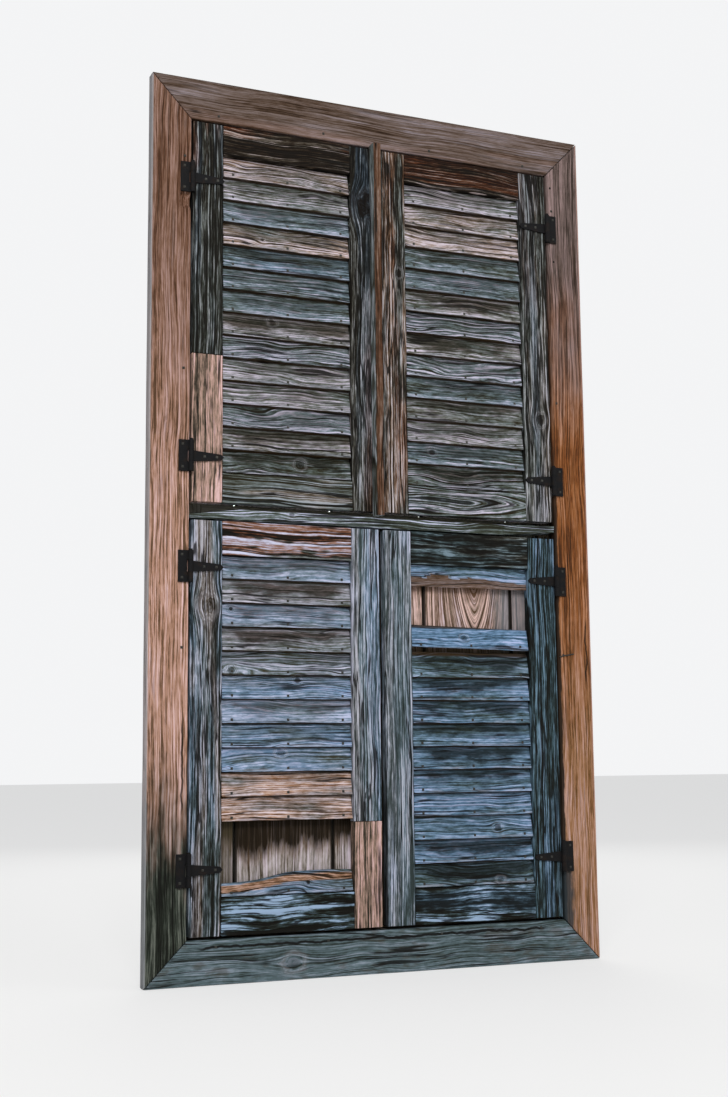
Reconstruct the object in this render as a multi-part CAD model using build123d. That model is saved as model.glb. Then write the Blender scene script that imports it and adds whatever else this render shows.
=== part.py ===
from build123d import *
import os

# A wooden window frame with four hinged shutter leaves, one pair above a transom bar and one
# pair below it. Sizes are in millimetres. X runs right, Y into the wall and Z up. The wall's
# face is the plane Y = 0, and the origin is the middle of the bottom casing board's back face.

# Opening and casing boards
OPENING_W = 916.0
OPENING_H = 1814.0
CASING_SIDE = 92.0
CASING_HEAD = 96.0
CASING_SILL = 94.0
CASING_T = 28.0
CHIP_W = 30.0
CHIP_H = 34.0
CHIP_DEPTH = 9.0

# Lining boards that stand in the wall behind the casing, and the strips the leaves close on
LINING_T = 30.0
LINING_DEPTH = 120.0
STOP_W = 16.0
STOP_T = 18.0
STOP_GAP = 0.5

# Glazed light behind the leaves
SASH_T = 36.0
SASH_BACK_SET = 20.0
SASH_STILE = 55.0
SASH_RAIL = 55.0
SASH_MID_RAIL = 62.0
SASH_MULLION = 50.0
GLAZING_BAR = 22.0
BARS_PER_LIGHT = 2
GLASS_T = 3.0
GLASS_LET_IN = 7.0
GLASS_PLAY = 0.3

# Leaves: gaps round them, then their parts
JAMB_GAP = 4.0
HEAD_GAP = 4.0
SILL_GAP = 6.0
TRANSOM_SPACE = 40.0
UPPER_MEETING_GAP = 5.0
LOWER_MEETING_GAP = 12.0
UPPER_LEAF_H = 873.0
LEAF_FRAME_T = 24.0
PLANK_T = 18.0
HINGE_STILE = 72.0
MEETING_STILE = 68.0
UPPER_TOP_RAIL = 70.0
UPPER_BOTTOM_RAIL = 68.0
LOWER_TOP_RAIL = 76.0
LOWER_BOTTOM_RAIL = 80.0
TENON_T = 8.0
TENON_L = 42.0
TENON_SHOULDER = 12.0
CENTRE_PLANK = 226.0
PLANK_GAP = 4.0

# Lapped slats
SLAT_PITCH = 52.4
SLAT_H = 60.0
SLAT_SET_BACK = 2.0
SLAT_LAP_CLEARANCE = 0.4
SLAT_END_GAP = 1.5
SLAT_EDGE_GAP = 1.0
RAISED_SLAT_LIFT = 15.0
RAISED_SLAT_TURN = 1.2
TORN_SLAT_LEFT = 14.0
TORN_SLAT_RIGHT = 37.0
TORN_SLAT_SPLINTER = 9.0
TORN_SLAT_DEPTH = 5.0
BROKEN_SLAT_LEFT = 29.0
BROKEN_SLAT_RIGHT = 48.0
BROKEN_SLAT_WAVE = 5.0

# Transom bar
BAR_FRONT_SET = 1.0
BAR_DEPTH = 40.0
BAR_BOTTOM_GAP = 3.0
BAR_H = 25.0
BAR_POINT_H = 9.0
BAR_POINT_L = 118.0
BAR_RIGHT_H = 17.0
BAR_RIGHT_RISE = 12.0
BAR_RIGHT_L = 150.0

# Cover strip on the upper left leaf
STRIP_W = 20.0
STRIP_T = 28.0
STRIP_RISE = 6.0
STRIP_DROP = 12.0

# Replaced lengths of two stiles
UPPER_SPLICE_H = 334.0
LOWER_SPLICE_H = 232.0

# Strap hinges
PIN_R = 3.0
PIN_PLAY = 0.08
PIN_HEAD_R = 4.6
PIN_HEAD_H = 3.0
PIN_HEAD_FLATS = 8
KNUCKLE_R = 6.0
KNUCKLE_FLATS = 12
HINGE_H = 70.0
HINGE_PLATE_W = 27.0
HINGE_IRON_T = 4.0
STRAP_L = 70.0
STRAP_ROOT_H = 25.0
STRAP_TIP_H = 13.0
STRAP_POINT = 6.0
KNUCKLE_CLEARANCE = 0.4
SWING_CLEARANCE = 0.8
UPPER_HINGE_FROM_TOP = 136.0
UPPER_HINGE_FROM_BOTTOM = 100.0
LOWER_HINGE_FROM_TOP = 104.0
LOWER_HINGE_FROM_BOTTOM = 139.0

# Forged nails
NAIL_HEAD = 5.6
NAIL_HEAD_RISE = 1.8
NAIL_FACE = 2.7
NAIL_SHANK = 2.6
SLAT_NAIL_L = 34.0
HINGE_NAIL_L = 24.0
CASING_NAIL_L = 46.0
SLAT_NAIL_UP = 8.0
SLAT_NAIL_IN = 24.0
BENT_NAIL_R = 1.5
BENT_NAIL_L = 38.0
BENT_NAIL_RISE = 7.0
BENT_NAIL_HEIGHT = 660.0

# Planes that the pieces share
FRONT = -CASING_T
PLANK_FRONT = FRONT + LEAF_FRAME_T
LEAF_BACK = PLANK_FRONT + PLANK_T
OPEN_X = OPENING_W / 2
OPEN_Z0 = CASING_SILL / 2
OPEN_Z1 = OPEN_Z0 + OPENING_H
UPPER_LEAF_Z0 = OPEN_Z1 - HEAD_GAP - UPPER_LEAF_H
LOWER_LEAF_Z1 = UPPER_LEAF_Z0 - TRANSOM_SPACE
LOWER_LEAF_Z0 = OPEN_Z0 + SILL_GAP
PIN_X = OPEN_X - JAMB_GAP / 2
PIN_Y = FRONT - KNUCKLE_R


def block(x0, x1, y0, y1, z0, z1):
    """A rectangular solid between three pairs of planes."""
    middle = Pos((x0 + x1) / 2, (y0 + y1) / 2, (z0 + z1) / 2)
    return middle * Box(x1 - x0, y1 - y0, z1 - z0)


def elevation(points, y0, y1):
    """A solid whose outline is drawn on the front view, from depth y0 to y1."""
    face = make_face(Polyline(*points, close=True))
    return Pos(0, y1, 0) * extrude(Plane.XZ * face, amount=y1 - y0)


def section(points, x0, x1):
    """A solid whose section is drawn from the side, from x0 to x1."""
    face = make_face(Polyline(*points, close=True))
    return Pos(x0, 0, 0) * extrude(Plane.YZ * face, amount=x1 - x0)


def nail(x, y, z, length):
    """A forged nail driven along +Y: a low four-sided head on a square shank."""
    half = NAIL_SHANK / 2
    shank = block(x - half, x + half, y, y + length, z - half, z + half)
    edge = (NAIL_HEAD - NAIL_FACE) / 2
    far = NAIL_HEAD - edge
    head = Rot(180, 0, 0) * Wedge(NAIL_HEAD, NAIL_HEAD_RISE, NAIL_HEAD, edge, edge, far, far)
    return Pos(x, y - NAIL_HEAD_RISE / 2, z) * head + shank


class Leaf:
    """The sizes and planes of one shutter leaf."""

    def __init__(self, name, side, z0, z1, meeting_gap, top_rail, bottom_rail, hinges):
        self.name = name
        self.side = side
        self.z0 = z0
        self.z1 = z1
        self.outer = side * (OPEN_X - JAMB_GAP)
        self.meeting = side * meeting_gap / 2
        self.stile_inner = self.outer - side * HINGE_STILE
        self.meeting_inner = self.meeting + side * MEETING_STILE
        self.panel_z0 = z0 + bottom_rail
        self.panel_z1 = z1 - top_rail
        self.left = min(self.outer, self.meeting)
        self.right = max(self.outer, self.meeting)
        self.panel_left = min(self.stile_inner, self.meeting_inner)
        self.panel_right = max(self.stile_inner, self.meeting_inner)
        self.hinge_heights = hinges
        self.slat_rows = round((self.panel_z1 - self.panel_z0) / SLAT_PITCH)
        self.slat_pitch = (self.panel_z1 - self.panel_z0) / self.slat_rows
        run = LEAF_FRAME_T - SLAT_SET_BACK + SLAT_LAP_CLEARANCE
        self.slat_slope = run / (SLAT_H + self.slat_pitch)
        self.slat_depth = self.slat_slope * self.slat_pitch - SLAT_LAP_CLEARANCE

    def slat_foot(self, row):
        """The height of a slat's lower edge. Row 0 is the top one."""
        return self.panel_z1 - (row + 1) * self.slat_pitch


def make_leaves():
    upper_hinges = (UPPER_LEAF_Z0 + UPPER_HINGE_FROM_BOTTOM, OPEN_Z1 - HEAD_GAP - UPPER_HINGE_FROM_TOP)
    lower_hinges = (LOWER_LEAF_Z0 + LOWER_HINGE_FROM_BOTTOM, LOWER_LEAF_Z1 - LOWER_HINGE_FROM_TOP)
    leaves = []
    for side, word in ((-1, "left"), (1, "right")):
        leaves.append(Leaf("upper_" + word, side, UPPER_LEAF_Z0, OPEN_Z1 - HEAD_GAP, UPPER_MEETING_GAP,
                           UPPER_TOP_RAIL, UPPER_BOTTOM_RAIL, upper_hinges))
        leaves.append(Leaf("lower_" + word, side, LOWER_LEAF_Z0, LOWER_LEAF_Z1, LOWER_MEETING_GAP,
                           LOWER_TOP_RAIL, LOWER_BOTTOM_RAIL, lower_hinges))
    return leaves


def make_casing(leaves):
    """Four flat boards mitred at the corners, with a chip out of the left one."""
    out_x = OPEN_X + CASING_SIDE
    out_z0 = OPEN_Z0 - CASING_SILL
    out_z1 = OPEN_Z1 + CASING_HEAD
    head = [(-out_x, out_z1), (out_x, out_z1), (OPEN_X, OPEN_Z1), (-OPEN_X, OPEN_Z1)]
    sill = [(-out_x, out_z0), (out_x, out_z0), (OPEN_X, OPEN_Z0), (-OPEN_X, OPEN_Z0)]
    left = [(-out_x, out_z0), (-out_x, out_z1), (-OPEN_X, OPEN_Z1), (-OPEN_X, OPEN_Z0)]
    right = [(out_x, out_z0), (out_x, out_z1), (OPEN_X, OPEN_Z1), (OPEN_X, OPEN_Z0)]
    boards = {}
    for name, points in (("head", head), ("sill", sill), ("left", left), ("right", right)):
        boards["casing_" + name] = elevation(points, FRONT, 0)
    upper_left = leaves[0]
    chip_z = upper_left.hinge_heights[1] - HINGE_H / 2
    chip_points = []
    for across, down in ((0.0, 0.0), (0.7, 0.0), (1.0, 0.8), (0.4, 1.0), (0.0, 0.85)):
        chip_points.append((-OPEN_X - across * CHIP_W, chip_z - down * CHIP_H))
    boards["casing_left"] -= elevation(chip_points, FRONT, FRONT + CHIP_DEPTH)
    return boards


def make_lining():
    """The boards round the inside of the wall opening. The head and sill run over the sides."""
    out_x = OPEN_X + LINING_T
    return {
        "lining_head": block(-out_x, out_x, 0, LINING_DEPTH, OPEN_Z1, OPEN_Z1 + LINING_T),
        "lining_sill": block(-out_x, out_x, 0, LINING_DEPTH, OPEN_Z0 - LINING_T, OPEN_Z0),
        "lining_left": block(-out_x, -OPEN_X, 0, LINING_DEPTH, OPEN_Z0, OPEN_Z1),
        "lining_right": block(OPEN_X, out_x, 0, LINING_DEPTH, OPEN_Z0, OPEN_Z1),
    }


def make_stops():
    """Strips on the lining that the closed leaves lie against."""
    y0 = LEAF_BACK + STOP_GAP
    y1 = y0 + STOP_T
    inner = OPEN_X - STOP_W
    return {
        "stop_left": block(-OPEN_X, -inner, y0, y1, OPEN_Z0, OPEN_Z1),
        "stop_right": block(inner, OPEN_X, y0, y1, OPEN_Z0, OPEN_Z1),
        "stop_head": block(-inner, inner, y0, y1, OPEN_Z1 - STOP_W, OPEN_Z1),
        "stop_sill": block(-inner, inner, y0, y1, OPEN_Z0, OPEN_Z0 + STOP_W),
    }


def sash_planes():
    """Depths of the glazed light and the heights of its middle rail."""
    y1 = LINING_DEPTH - SASH_BACK_SET
    y0 = y1 - SASH_T
    mid = (UPPER_LEAF_Z0 + LOWER_LEAF_Z1) / 2
    return y0, y1, mid - SASH_MID_RAIL / 2, mid + SASH_MID_RAIL / 2


def make_sash():
    """A fixed light of stiles, rails, mullions, glazing bars and panes."""
    y0, y1, mid_z0, mid_z1 = sash_planes()
    inner_x = OPEN_X - SASH_STILE
    half = SASH_MULLION / 2
    light_z = ((OPEN_Z0 + SASH_RAIL, mid_z0), (mid_z1, OPEN_Z1 - SASH_RAIL))
    light_x = ((-inner_x, -half), (half, inner_x))
    glass_y0 = (y0 + y1 - GLASS_T) / 2
    bars = []
    panes = []
    slots = []
    for z0, z1 in light_z:
        pane_h = (z1 - z0 - BARS_PER_LIGHT * GLAZING_BAR) / (BARS_PER_LIGHT + 1)
        for x0, x1 in light_x:
            for step in range(BARS_PER_LIGHT + 1):
                pane_z0 = z0 + step * (pane_h + GLAZING_BAR)
                let_in = GLASS_LET_IN
                slots.append(block(x0 - let_in, x1 + let_in, glass_y0, glass_y0 + GLASS_T,
                                   pane_z0 - let_in, pane_z0 + pane_h + let_in))
                let_in = GLASS_LET_IN - GLASS_PLAY
                panes.append(block(x0 - let_in, x1 + let_in, glass_y0, glass_y0 + GLASS_T,
                                   pane_z0 - let_in, pane_z0 + pane_h + let_in))
                if step < BARS_PER_LIGHT:
                    bar_z0 = pane_z0 + pane_h
                    bars.append(block(x0, x1, y0, y1, bar_z0, bar_z0 + GLAZING_BAR))
    pieces = {
        "sash_left_stile": [block(-OPEN_X, -inner_x, y0, y1, OPEN_Z0, OPEN_Z1)],
        "sash_right_stile": [block(inner_x, OPEN_X, y0, y1, OPEN_Z0, OPEN_Z1)],
        "sash_head_rail": [block(-inner_x, inner_x, y0, y1, OPEN_Z1 - SASH_RAIL, OPEN_Z1)],
        "sash_bottom_rail": [block(-inner_x, inner_x, y0, y1, OPEN_Z0, OPEN_Z0 + SASH_RAIL)],
        "sash_mid_rail": [block(-inner_x, inner_x, y0, y1, mid_z0, mid_z1)],
        "sash_mullions": [block(-half, half, y0, y1, z0, z1) for z0, z1 in light_z],
        "glazing_bars": bars,
    }
    rebated = {name: [cut_slots(solid, slots) for solid in solids] for name, solids in pieces.items()}
    rebated["glass_panes"] = panes
    return rebated


def cut_slots(solid, slots):
    """The grooves that the panes are let into."""
    for slot in slots:
        solid = solid - slot
    return solid


def make_transom():
    """The bar between the upper and lower leaves, worn to a point at its left end."""
    foot = LOWER_LEAF_Z1 + BAR_BOTTOM_GAP
    y0 = FRONT + BAR_FRONT_SET
    points = [
        (-OPEN_X, foot), (-OPEN_X, foot + BAR_POINT_H), (-OPEN_X + BAR_POINT_L, foot + BAR_H),
        (OPEN_X - BAR_RIGHT_L, foot + BAR_H), (OPEN_X, foot + BAR_RIGHT_RISE + BAR_RIGHT_H),
        (OPEN_X, foot + BAR_RIGHT_RISE), (OPEN_X - BAR_RIGHT_L, foot),
    ]
    return elevation(points, y0, y0 + BAR_DEPTH)


def splice_height(leaf):
    """How far up from the leaf's foot a stile has been replaced, by stile name."""
    heights = {"upper_left": ("hinge_stile", UPPER_SPLICE_H), "lower_left": ("meeting_stile", LOWER_SPLICE_H)}
    return heights.get(leaf.name, (None, 0))


def make_tenons(leaf, rail_z0, rail_z1):
    """The two tongues on a rail's ends, which go into the stiles."""
    y0 = (FRONT + PLANK_FRONT - TENON_T) / 2
    y1 = y0 + TENON_T
    z0 = rail_z0 + TENON_SHOULDER
    z1 = rail_z1 - TENON_SHOULDER
    left = block(leaf.panel_left - TENON_L, leaf.panel_left, y0, y1, z0, z1)
    right = block(leaf.panel_right, leaf.panel_right + TENON_L, y0, y1, z0, z1)
    return left, right


def make_leaf_frame(leaf):
    """Two stiles and two rails joined by mortise and tenon, with any replaced length of stile."""
    pieces = {}
    spans = {"top_rail": (leaf.panel_z1, leaf.z1), "bottom_rail": (leaf.z0, leaf.panel_z0)}
    mortises = []
    for rail, (z0, z1) in spans.items():
        left, right = make_tenons(leaf, z0, z1)
        body = block(leaf.panel_left, leaf.panel_right, FRONT, PLANK_FRONT, z0, z1)
        pieces[leaf.name + "_" + rail] = body + left + right
        mortises += [left, right]
    stiles = {
        "hinge_stile": (leaf.outer, leaf.stile_inner),
        "meeting_stile": (leaf.meeting, leaf.meeting_inner),
    }
    spliced, splice = splice_height(leaf)
    for stile, (xa, xb) in stiles.items():
        x0 = min(xa, xb)
        x1 = max(xa, xb)
        cut = leaf.z0 + splice if stile == spliced else leaf.z0
        parts = {leaf.name + "_" + stile: block(x0, x1, FRONT, PLANK_FRONT, cut, leaf.z1)}
        if stile == spliced:
            parts[leaf.name + "_stile_splice"] = block(x0, x1, FRONT, PLANK_FRONT, leaf.z0, cut)
        for name, solid in parts.items():
            pieces[name] = cut_slots(solid, mortises)
    return pieces


def make_planks(leaf):
    """Three upright boards behind the leaf, with open joints between them."""
    middle = (leaf.left + leaf.right) / 2
    edges = [
        (leaf.left, middle - CENTRE_PLANK / 2 - PLANK_GAP),
        (middle - CENTRE_PLANK / 2, middle + CENTRE_PLANK / 2),
        (middle + CENTRE_PLANK / 2 + PLANK_GAP, leaf.right),
    ]
    return [block(x0, x1, PLANK_FRONT, LEAF_BACK, leaf.z0, leaf.z1) for x0, x1 in edges]


def make_slat(leaf, row, top_limit, depth):
    """One lapped slat: it leans back and its lower edge stands over the slat below."""
    foot = leaf.slat_foot(row) + SLAT_EDGE_GAP
    height = min(SLAT_H, top_limit - foot)
    y_foot = FRONT + SLAT_SET_BACK
    lean = leaf.slat_slope * height
    points = [(y_foot, foot), (y_foot + depth, foot), (y_foot + depth + lean, foot + height),
              (y_foot + lean, foot + height)]
    return section(points, leaf.panel_left + SLAT_END_GAP, leaf.panel_right - SLAT_END_GAP)


def broken_slat(leaf, row):
    """The lowest slat of the lower left leaf: its upper part has rotted to a wavy edge."""
    whole = make_slat(leaf, row, leaf.panel_z1, leaf.slat_depth)
    foot = leaf.slat_foot(row)
    width = leaf.panel_right - leaf.panel_left
    x0 = leaf.panel_left
    rise = BROKEN_SLAT_RIGHT - BROKEN_SLAT_LEFT
    crest = [(x0, foot + BROKEN_SLAT_LEFT)]
    for share, wave in ((0.18, -0.2), (0.33, 0.3), (0.48, 1.6), (0.66, 1.5), (0.85, 0.9)):
        crest.append((x0 + share * width, foot + BROKEN_SLAT_LEFT + share * rise + wave * BROKEN_SLAT_WAVE))
    crest.append((leaf.panel_right, foot + BROKEN_SLAT_RIGHT))
    edge = Spline(*crest)
    sides = Polyline(crest[-1], (leaf.panel_right, foot), (x0, foot), crest[0])
    keep = extrude(Plane.XZ * make_face(edge + sides), amount=LEAF_FRAME_T)
    return whole & (Pos(0, PLANK_FRONT, 0) * keep)


def torn_slat(leaf, row):
    """The top slat of the lower right leaf: the front of its lower part has split off along a slant."""
    top = leaf.panel_z1
    whole = make_slat(leaf, row, top, leaf.slat_depth)
    front = make_slat(leaf, row, top, TORN_SLAT_DEPTH)
    x0 = leaf.panel_left
    width = leaf.panel_right - x0
    foot = leaf.slat_foot(row)
    points = [(x0, foot), (leaf.panel_right, foot)]
    tears = ((1.0, 0.0), (0.72, 0.0), (0.50, 0.0), (0.36, 0.9), (0.34, 0.0), (0.25, 0.2), (0.17, 0.0),
             (0.12, 1.6), (0.05, 1.2), (0.0, 1.7))
    for share, splinter in tears:
        drop = TORN_SLAT_LEFT + share * (TORN_SLAT_RIGHT - TORN_SLAT_LEFT)
        points.append((x0 + share * width, top - drop - splinter * TORN_SLAT_SPLINTER))
    return whole - (front & elevation(points, FRONT, PLANK_FRONT))


def raised_slat(leaf, row):
    """The slat under the gap in the lower right leaf: it has slipped up and turned a little."""
    slat = make_slat(leaf, row, leaf.slat_foot(row) + leaf.slat_pitch, leaf.slat_depth)
    middle = ((leaf.panel_left + leaf.panel_right) / 2, leaf.slat_foot(row) + leaf.slat_pitch / 2)
    turn = Pos(middle[0], 0, middle[1]) * Rot(0, RAISED_SLAT_TURN, 0) * Pos(-middle[0], 0, -middle[1])
    keep = block(leaf.panel_left + SLAT_END_GAP, leaf.panel_right - SLAT_END_GAP, FRONT, PLANK_FRONT,
                 leaf.z0, leaf.z1)
    return (Pos(0, 0, RAISED_SLAT_LIFT) * turn * slat) & keep


def row_state(leaf, row):
    """What has become of a slat: whole, missing, or one of the damaged forms."""
    last = leaf.slat_rows - 1
    states = {
        "lower_left": {last - 2: "missing", last - 1: "missing", last: "broken"},
        "lower_right": {0: "torn", 1: "missing", 2: "missing", 3: "raised"},
    }
    return states.get(leaf.name, {}).get(row, "whole")


def make_slats(leaf):
    forms = {"broken": broken_slat, "torn": torn_slat, "raised": raised_slat}
    solids = []
    for row in range(leaf.slat_rows):
        state = row_state(leaf, row)
        if state == "whole":
            solids.append(make_slat(leaf, row, leaf.panel_z1, leaf.slat_depth))
        elif state != "missing":
            solids.append(forms[state](leaf, row))
    return solids


def slat_nail_places(leaf):
    """Where each slat is nailed: near its ends and in the middle, just above its lower edge."""
    places = []
    left = leaf.panel_left + SLAT_NAIL_IN
    right = leaf.panel_right - SLAT_NAIL_IN
    for row in range(leaf.slat_rows):
        state = row_state(leaf, row)
        if state in ("missing", "torn"):
            continue
        lift = RAISED_SLAT_LIFT if state == "raised" else 0.0
        z = leaf.slat_foot(row) + SLAT_EDGE_GAP + SLAT_NAIL_UP + lift
        for x in (left, (left + right) / 2, right):
            places.append((x, z))
    return places


def make_leaf_nails(leaf):
    y_slat = FRONT + SLAT_SET_BACK + leaf.slat_slope * SLAT_NAIL_UP
    nails = [nail(x, y_slat, z, SLAT_NAIL_L) for x, z in slat_nail_places(leaf)]
    for z in leaf.hinge_heights:
        for share in (0.45, 0.85):
            x = leaf.side * (PIN_X - share * STRAP_L)
            nails.append(nail(x, FRONT - HINGE_IRON_T, z, HINGE_NAIL_L))
    return nails


def pin_rod(x, z0, z1, radius):
    """A round rod on a hinge's axis."""
    return Pos(x, PIN_Y, (z0 + z1) / 2) * Cylinder(radius, z1 - z0)


def hammered(x, z0, z1, radius, flats):
    """A rod on a hinge's axis, hammered to a number of flats."""
    return Pos(x, PIN_Y, z0) * extrude(RegularPolygon(radius, flats), amount=z1 - z0)


def make_hinge_plate(leaf, z):
    """The half of a hinge that is nailed to the casing: a plate with a knuckle at each end."""
    x = leaf.side * PIN_X
    edge = x + leaf.side * HINGE_PLATE_W
    low = z - HINGE_H / 2
    high = z + HINGE_H / 2
    plate = block(min(x, edge), max(x, edge), FRONT - HINGE_IRON_T, FRONT, low, high)
    gap = STRAP_ROOT_H / 2 + KNUCKLE_CLEARANCE
    swing = KNUCKLE_R + SWING_CLEARANCE
    notch = block(x - swing, x + swing, PIN_Y - swing, FRONT, z - gap, z + gap)
    bore = pin_rod(x, z - HINGE_H, z + HINGE_H, PIN_R + PIN_PLAY)
    return plate + hammered(x, low, high, KNUCKLE_R, KNUCKLE_FLATS) - notch - bore


def make_hinge_strap(leaf, z):
    """The half of a hinge that is nailed to the leaf: a tapered strap with the middle knuckle."""
    x = leaf.side * PIN_X
    shoulder = leaf.side * (PIN_X - STRAP_L)
    tip = shoulder - leaf.side * STRAP_POINT
    points = [(x, z - STRAP_ROOT_H / 2), (x, z + STRAP_ROOT_H / 2), (shoulder, z + STRAP_TIP_H / 2),
              (tip, z), (shoulder, z - STRAP_TIP_H / 2)]
    strap = elevation(points, FRONT - HINGE_IRON_T, FRONT)
    middle = hammered(x, z - STRAP_ROOT_H / 2, z + STRAP_ROOT_H / 2, KNUCKLE_R, KNUCKLE_FLATS)
    return strap + middle - pin_rod(x, z - HINGE_H, z + HINGE_H, PIN_R + PIN_PLAY)


def make_hinge_pin(leaf, z):
    """A headed pin that hangs in the knuckles by its head."""
    x = leaf.side * PIN_X
    top = z + HINGE_H / 2
    head = hammered(x, top, top + PIN_HEAD_H, PIN_HEAD_R, PIN_HEAD_FLATS)
    return pin_rod(x, z - HINGE_H / 2, top, PIN_R) + head


def make_bent_nail():
    """A nail in the right casing board, hammered over along its face."""
    x = OPEN_X + BENT_NAIL_R * 3
    y = FRONT - BENT_NAIL_R
    path = Polyline((x, FRONT + CASING_T / 2, BENT_NAIL_HEIGHT), (x, y, BENT_NAIL_HEIGHT),
                    (x + BENT_NAIL_L, y, BENT_NAIL_HEIGHT + BENT_NAIL_RISE))
    start = Plane((x, FRONT + CASING_T / 2, BENT_NAIL_HEIGHT), z_dir=(0, -1, 0))
    return sweep(start * RegularPolygon(BENT_NAIL_R, 6), path=path, transition=Transition.RIGHT)


def make_casing_nails(leaves):
    """Nails through the casing into the lining, through the hinge plates, and the bent one."""
    nails = []
    z_head = OPEN_Z1 + LINING_T / 2
    z_sill = OPEN_Z0 - LINING_T / 2
    for share in (-0.86, -0.3, 0.3, 0.86):
        nails.append(nail(share * OPEN_X, FRONT, z_head, CASING_NAIL_L))
        nails.append(nail(share * OPEN_X, FRONT, z_sill, CASING_NAIL_L))
    for share in (0.06, 0.34, 0.68, 0.95):
        z = OPEN_Z0 + share * OPENING_H
        for side in (-1, 1):
            nails.append(nail(side * (OPEN_X + LINING_T / 2), FRONT, z, CASING_NAIL_L))
    for leaf in leaves:
        for z in leaf.hinge_heights:
            for up in (-0.36, 0.36):
                x = leaf.side * (PIN_X + HINGE_PLATE_W * 0.68)
                nails.append(nail(x, FRONT - HINGE_IRON_T, z + up * HINGE_H, HINGE_NAIL_L))
    nails.append(make_bent_nail())
    return nails


def make_cover_strip(leaf):
    """The strip on the front of the upper left leaf's meeting edge."""
    return block(leaf.meeting - STRIP_W, leaf.meeting, FRONT - STRIP_T, FRONT,
                 leaf.z0 - STRIP_DROP, leaf.z1 + STRIP_RISE)


def make_all():
    leaves = make_leaves()
    nodes = {}
    nodes.update(make_casing(leaves))
    nodes.update(make_lining())
    nodes.update(make_stops())
    nodes.update(make_sash())
    nodes["transom_bar"] = make_transom()
    nodes["casing_nails"] = make_casing_nails(leaves)
    nodes["hinge_plates"] = [make_hinge_plate(leaf, z) for leaf in leaves for z in leaf.hinge_heights]
    nodes["hinge_pins"] = [make_hinge_pin(leaf, z) for leaf in leaves for z in leaf.hinge_heights]
    for leaf in leaves:
        nodes.update(make_leaf_frame(leaf))
        nodes[leaf.name + "_planks"] = make_planks(leaf)
        nodes[leaf.name + "_slats"] = make_slats(leaf)
        nodes[leaf.name + "_nails"] = make_leaf_nails(leaf)
        nodes[leaf.name + "_hinge_straps"] = [make_hinge_strap(leaf, z) for z in leaf.hinge_heights]
    nodes["cover_strip"] = make_cover_strip(leaves[0])
    return nodes


def write_parts(nodes):
    os.makedirs("parts", exist_ok=True)
    for name, shape in nodes.items():
        solids = []
        for item in shape if isinstance(shape, list) else [shape]:
            solids += item.solids()
        part = solids[0] if len(solids) == 1 else Compound(children=solids)
        export_step(part, os.path.join("parts", name + ".step"))


write_parts(make_all())
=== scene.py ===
"""The finish of an old window with shutters: weathered boards, lapped slats, iron hinges and glass."""

import math
from functools import partial
from typing import NamedTuple

import bmesh
import bpy
from mathutils import Matrix, Vector, noise


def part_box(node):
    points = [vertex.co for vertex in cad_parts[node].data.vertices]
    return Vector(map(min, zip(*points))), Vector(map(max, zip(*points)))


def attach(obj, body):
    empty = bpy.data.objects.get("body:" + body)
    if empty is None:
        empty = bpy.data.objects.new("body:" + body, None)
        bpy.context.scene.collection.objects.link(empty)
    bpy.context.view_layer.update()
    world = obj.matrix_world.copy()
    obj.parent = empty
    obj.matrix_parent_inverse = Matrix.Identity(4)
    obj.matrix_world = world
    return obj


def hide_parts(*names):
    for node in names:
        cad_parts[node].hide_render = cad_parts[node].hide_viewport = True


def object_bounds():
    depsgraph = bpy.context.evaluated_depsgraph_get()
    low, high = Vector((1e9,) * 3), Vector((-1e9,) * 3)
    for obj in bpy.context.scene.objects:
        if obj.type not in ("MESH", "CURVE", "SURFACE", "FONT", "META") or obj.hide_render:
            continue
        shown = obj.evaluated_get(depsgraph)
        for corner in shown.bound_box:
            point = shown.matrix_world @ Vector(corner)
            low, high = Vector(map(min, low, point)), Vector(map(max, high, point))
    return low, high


bl_info = {
    "name": "Window with shutters",
    "version": (1, 0, 0),
    "blender": (4, 5, 0),
    "location": "View3D > Sidebar > Window",
    "description": "Builds and finishes the boards, slats, ironwork and glass of an old shuttered window",
    "category": "Object",
}

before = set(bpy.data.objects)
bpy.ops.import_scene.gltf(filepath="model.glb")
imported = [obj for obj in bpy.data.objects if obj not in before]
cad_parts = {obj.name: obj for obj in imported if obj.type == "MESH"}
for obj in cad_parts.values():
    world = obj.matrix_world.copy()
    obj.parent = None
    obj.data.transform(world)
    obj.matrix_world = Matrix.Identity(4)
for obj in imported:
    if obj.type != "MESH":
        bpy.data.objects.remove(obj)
CAD_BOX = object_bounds()

X_AXIS = 0
Z_AXIS = 2
LEAVES = ("upper_left", "upper_right", "lower_left", "lower_right")
STILES = ("hinge_stile", "meeting_stile")

# Points nearer than this are one point
SAME_POINT = 1e-5

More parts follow.
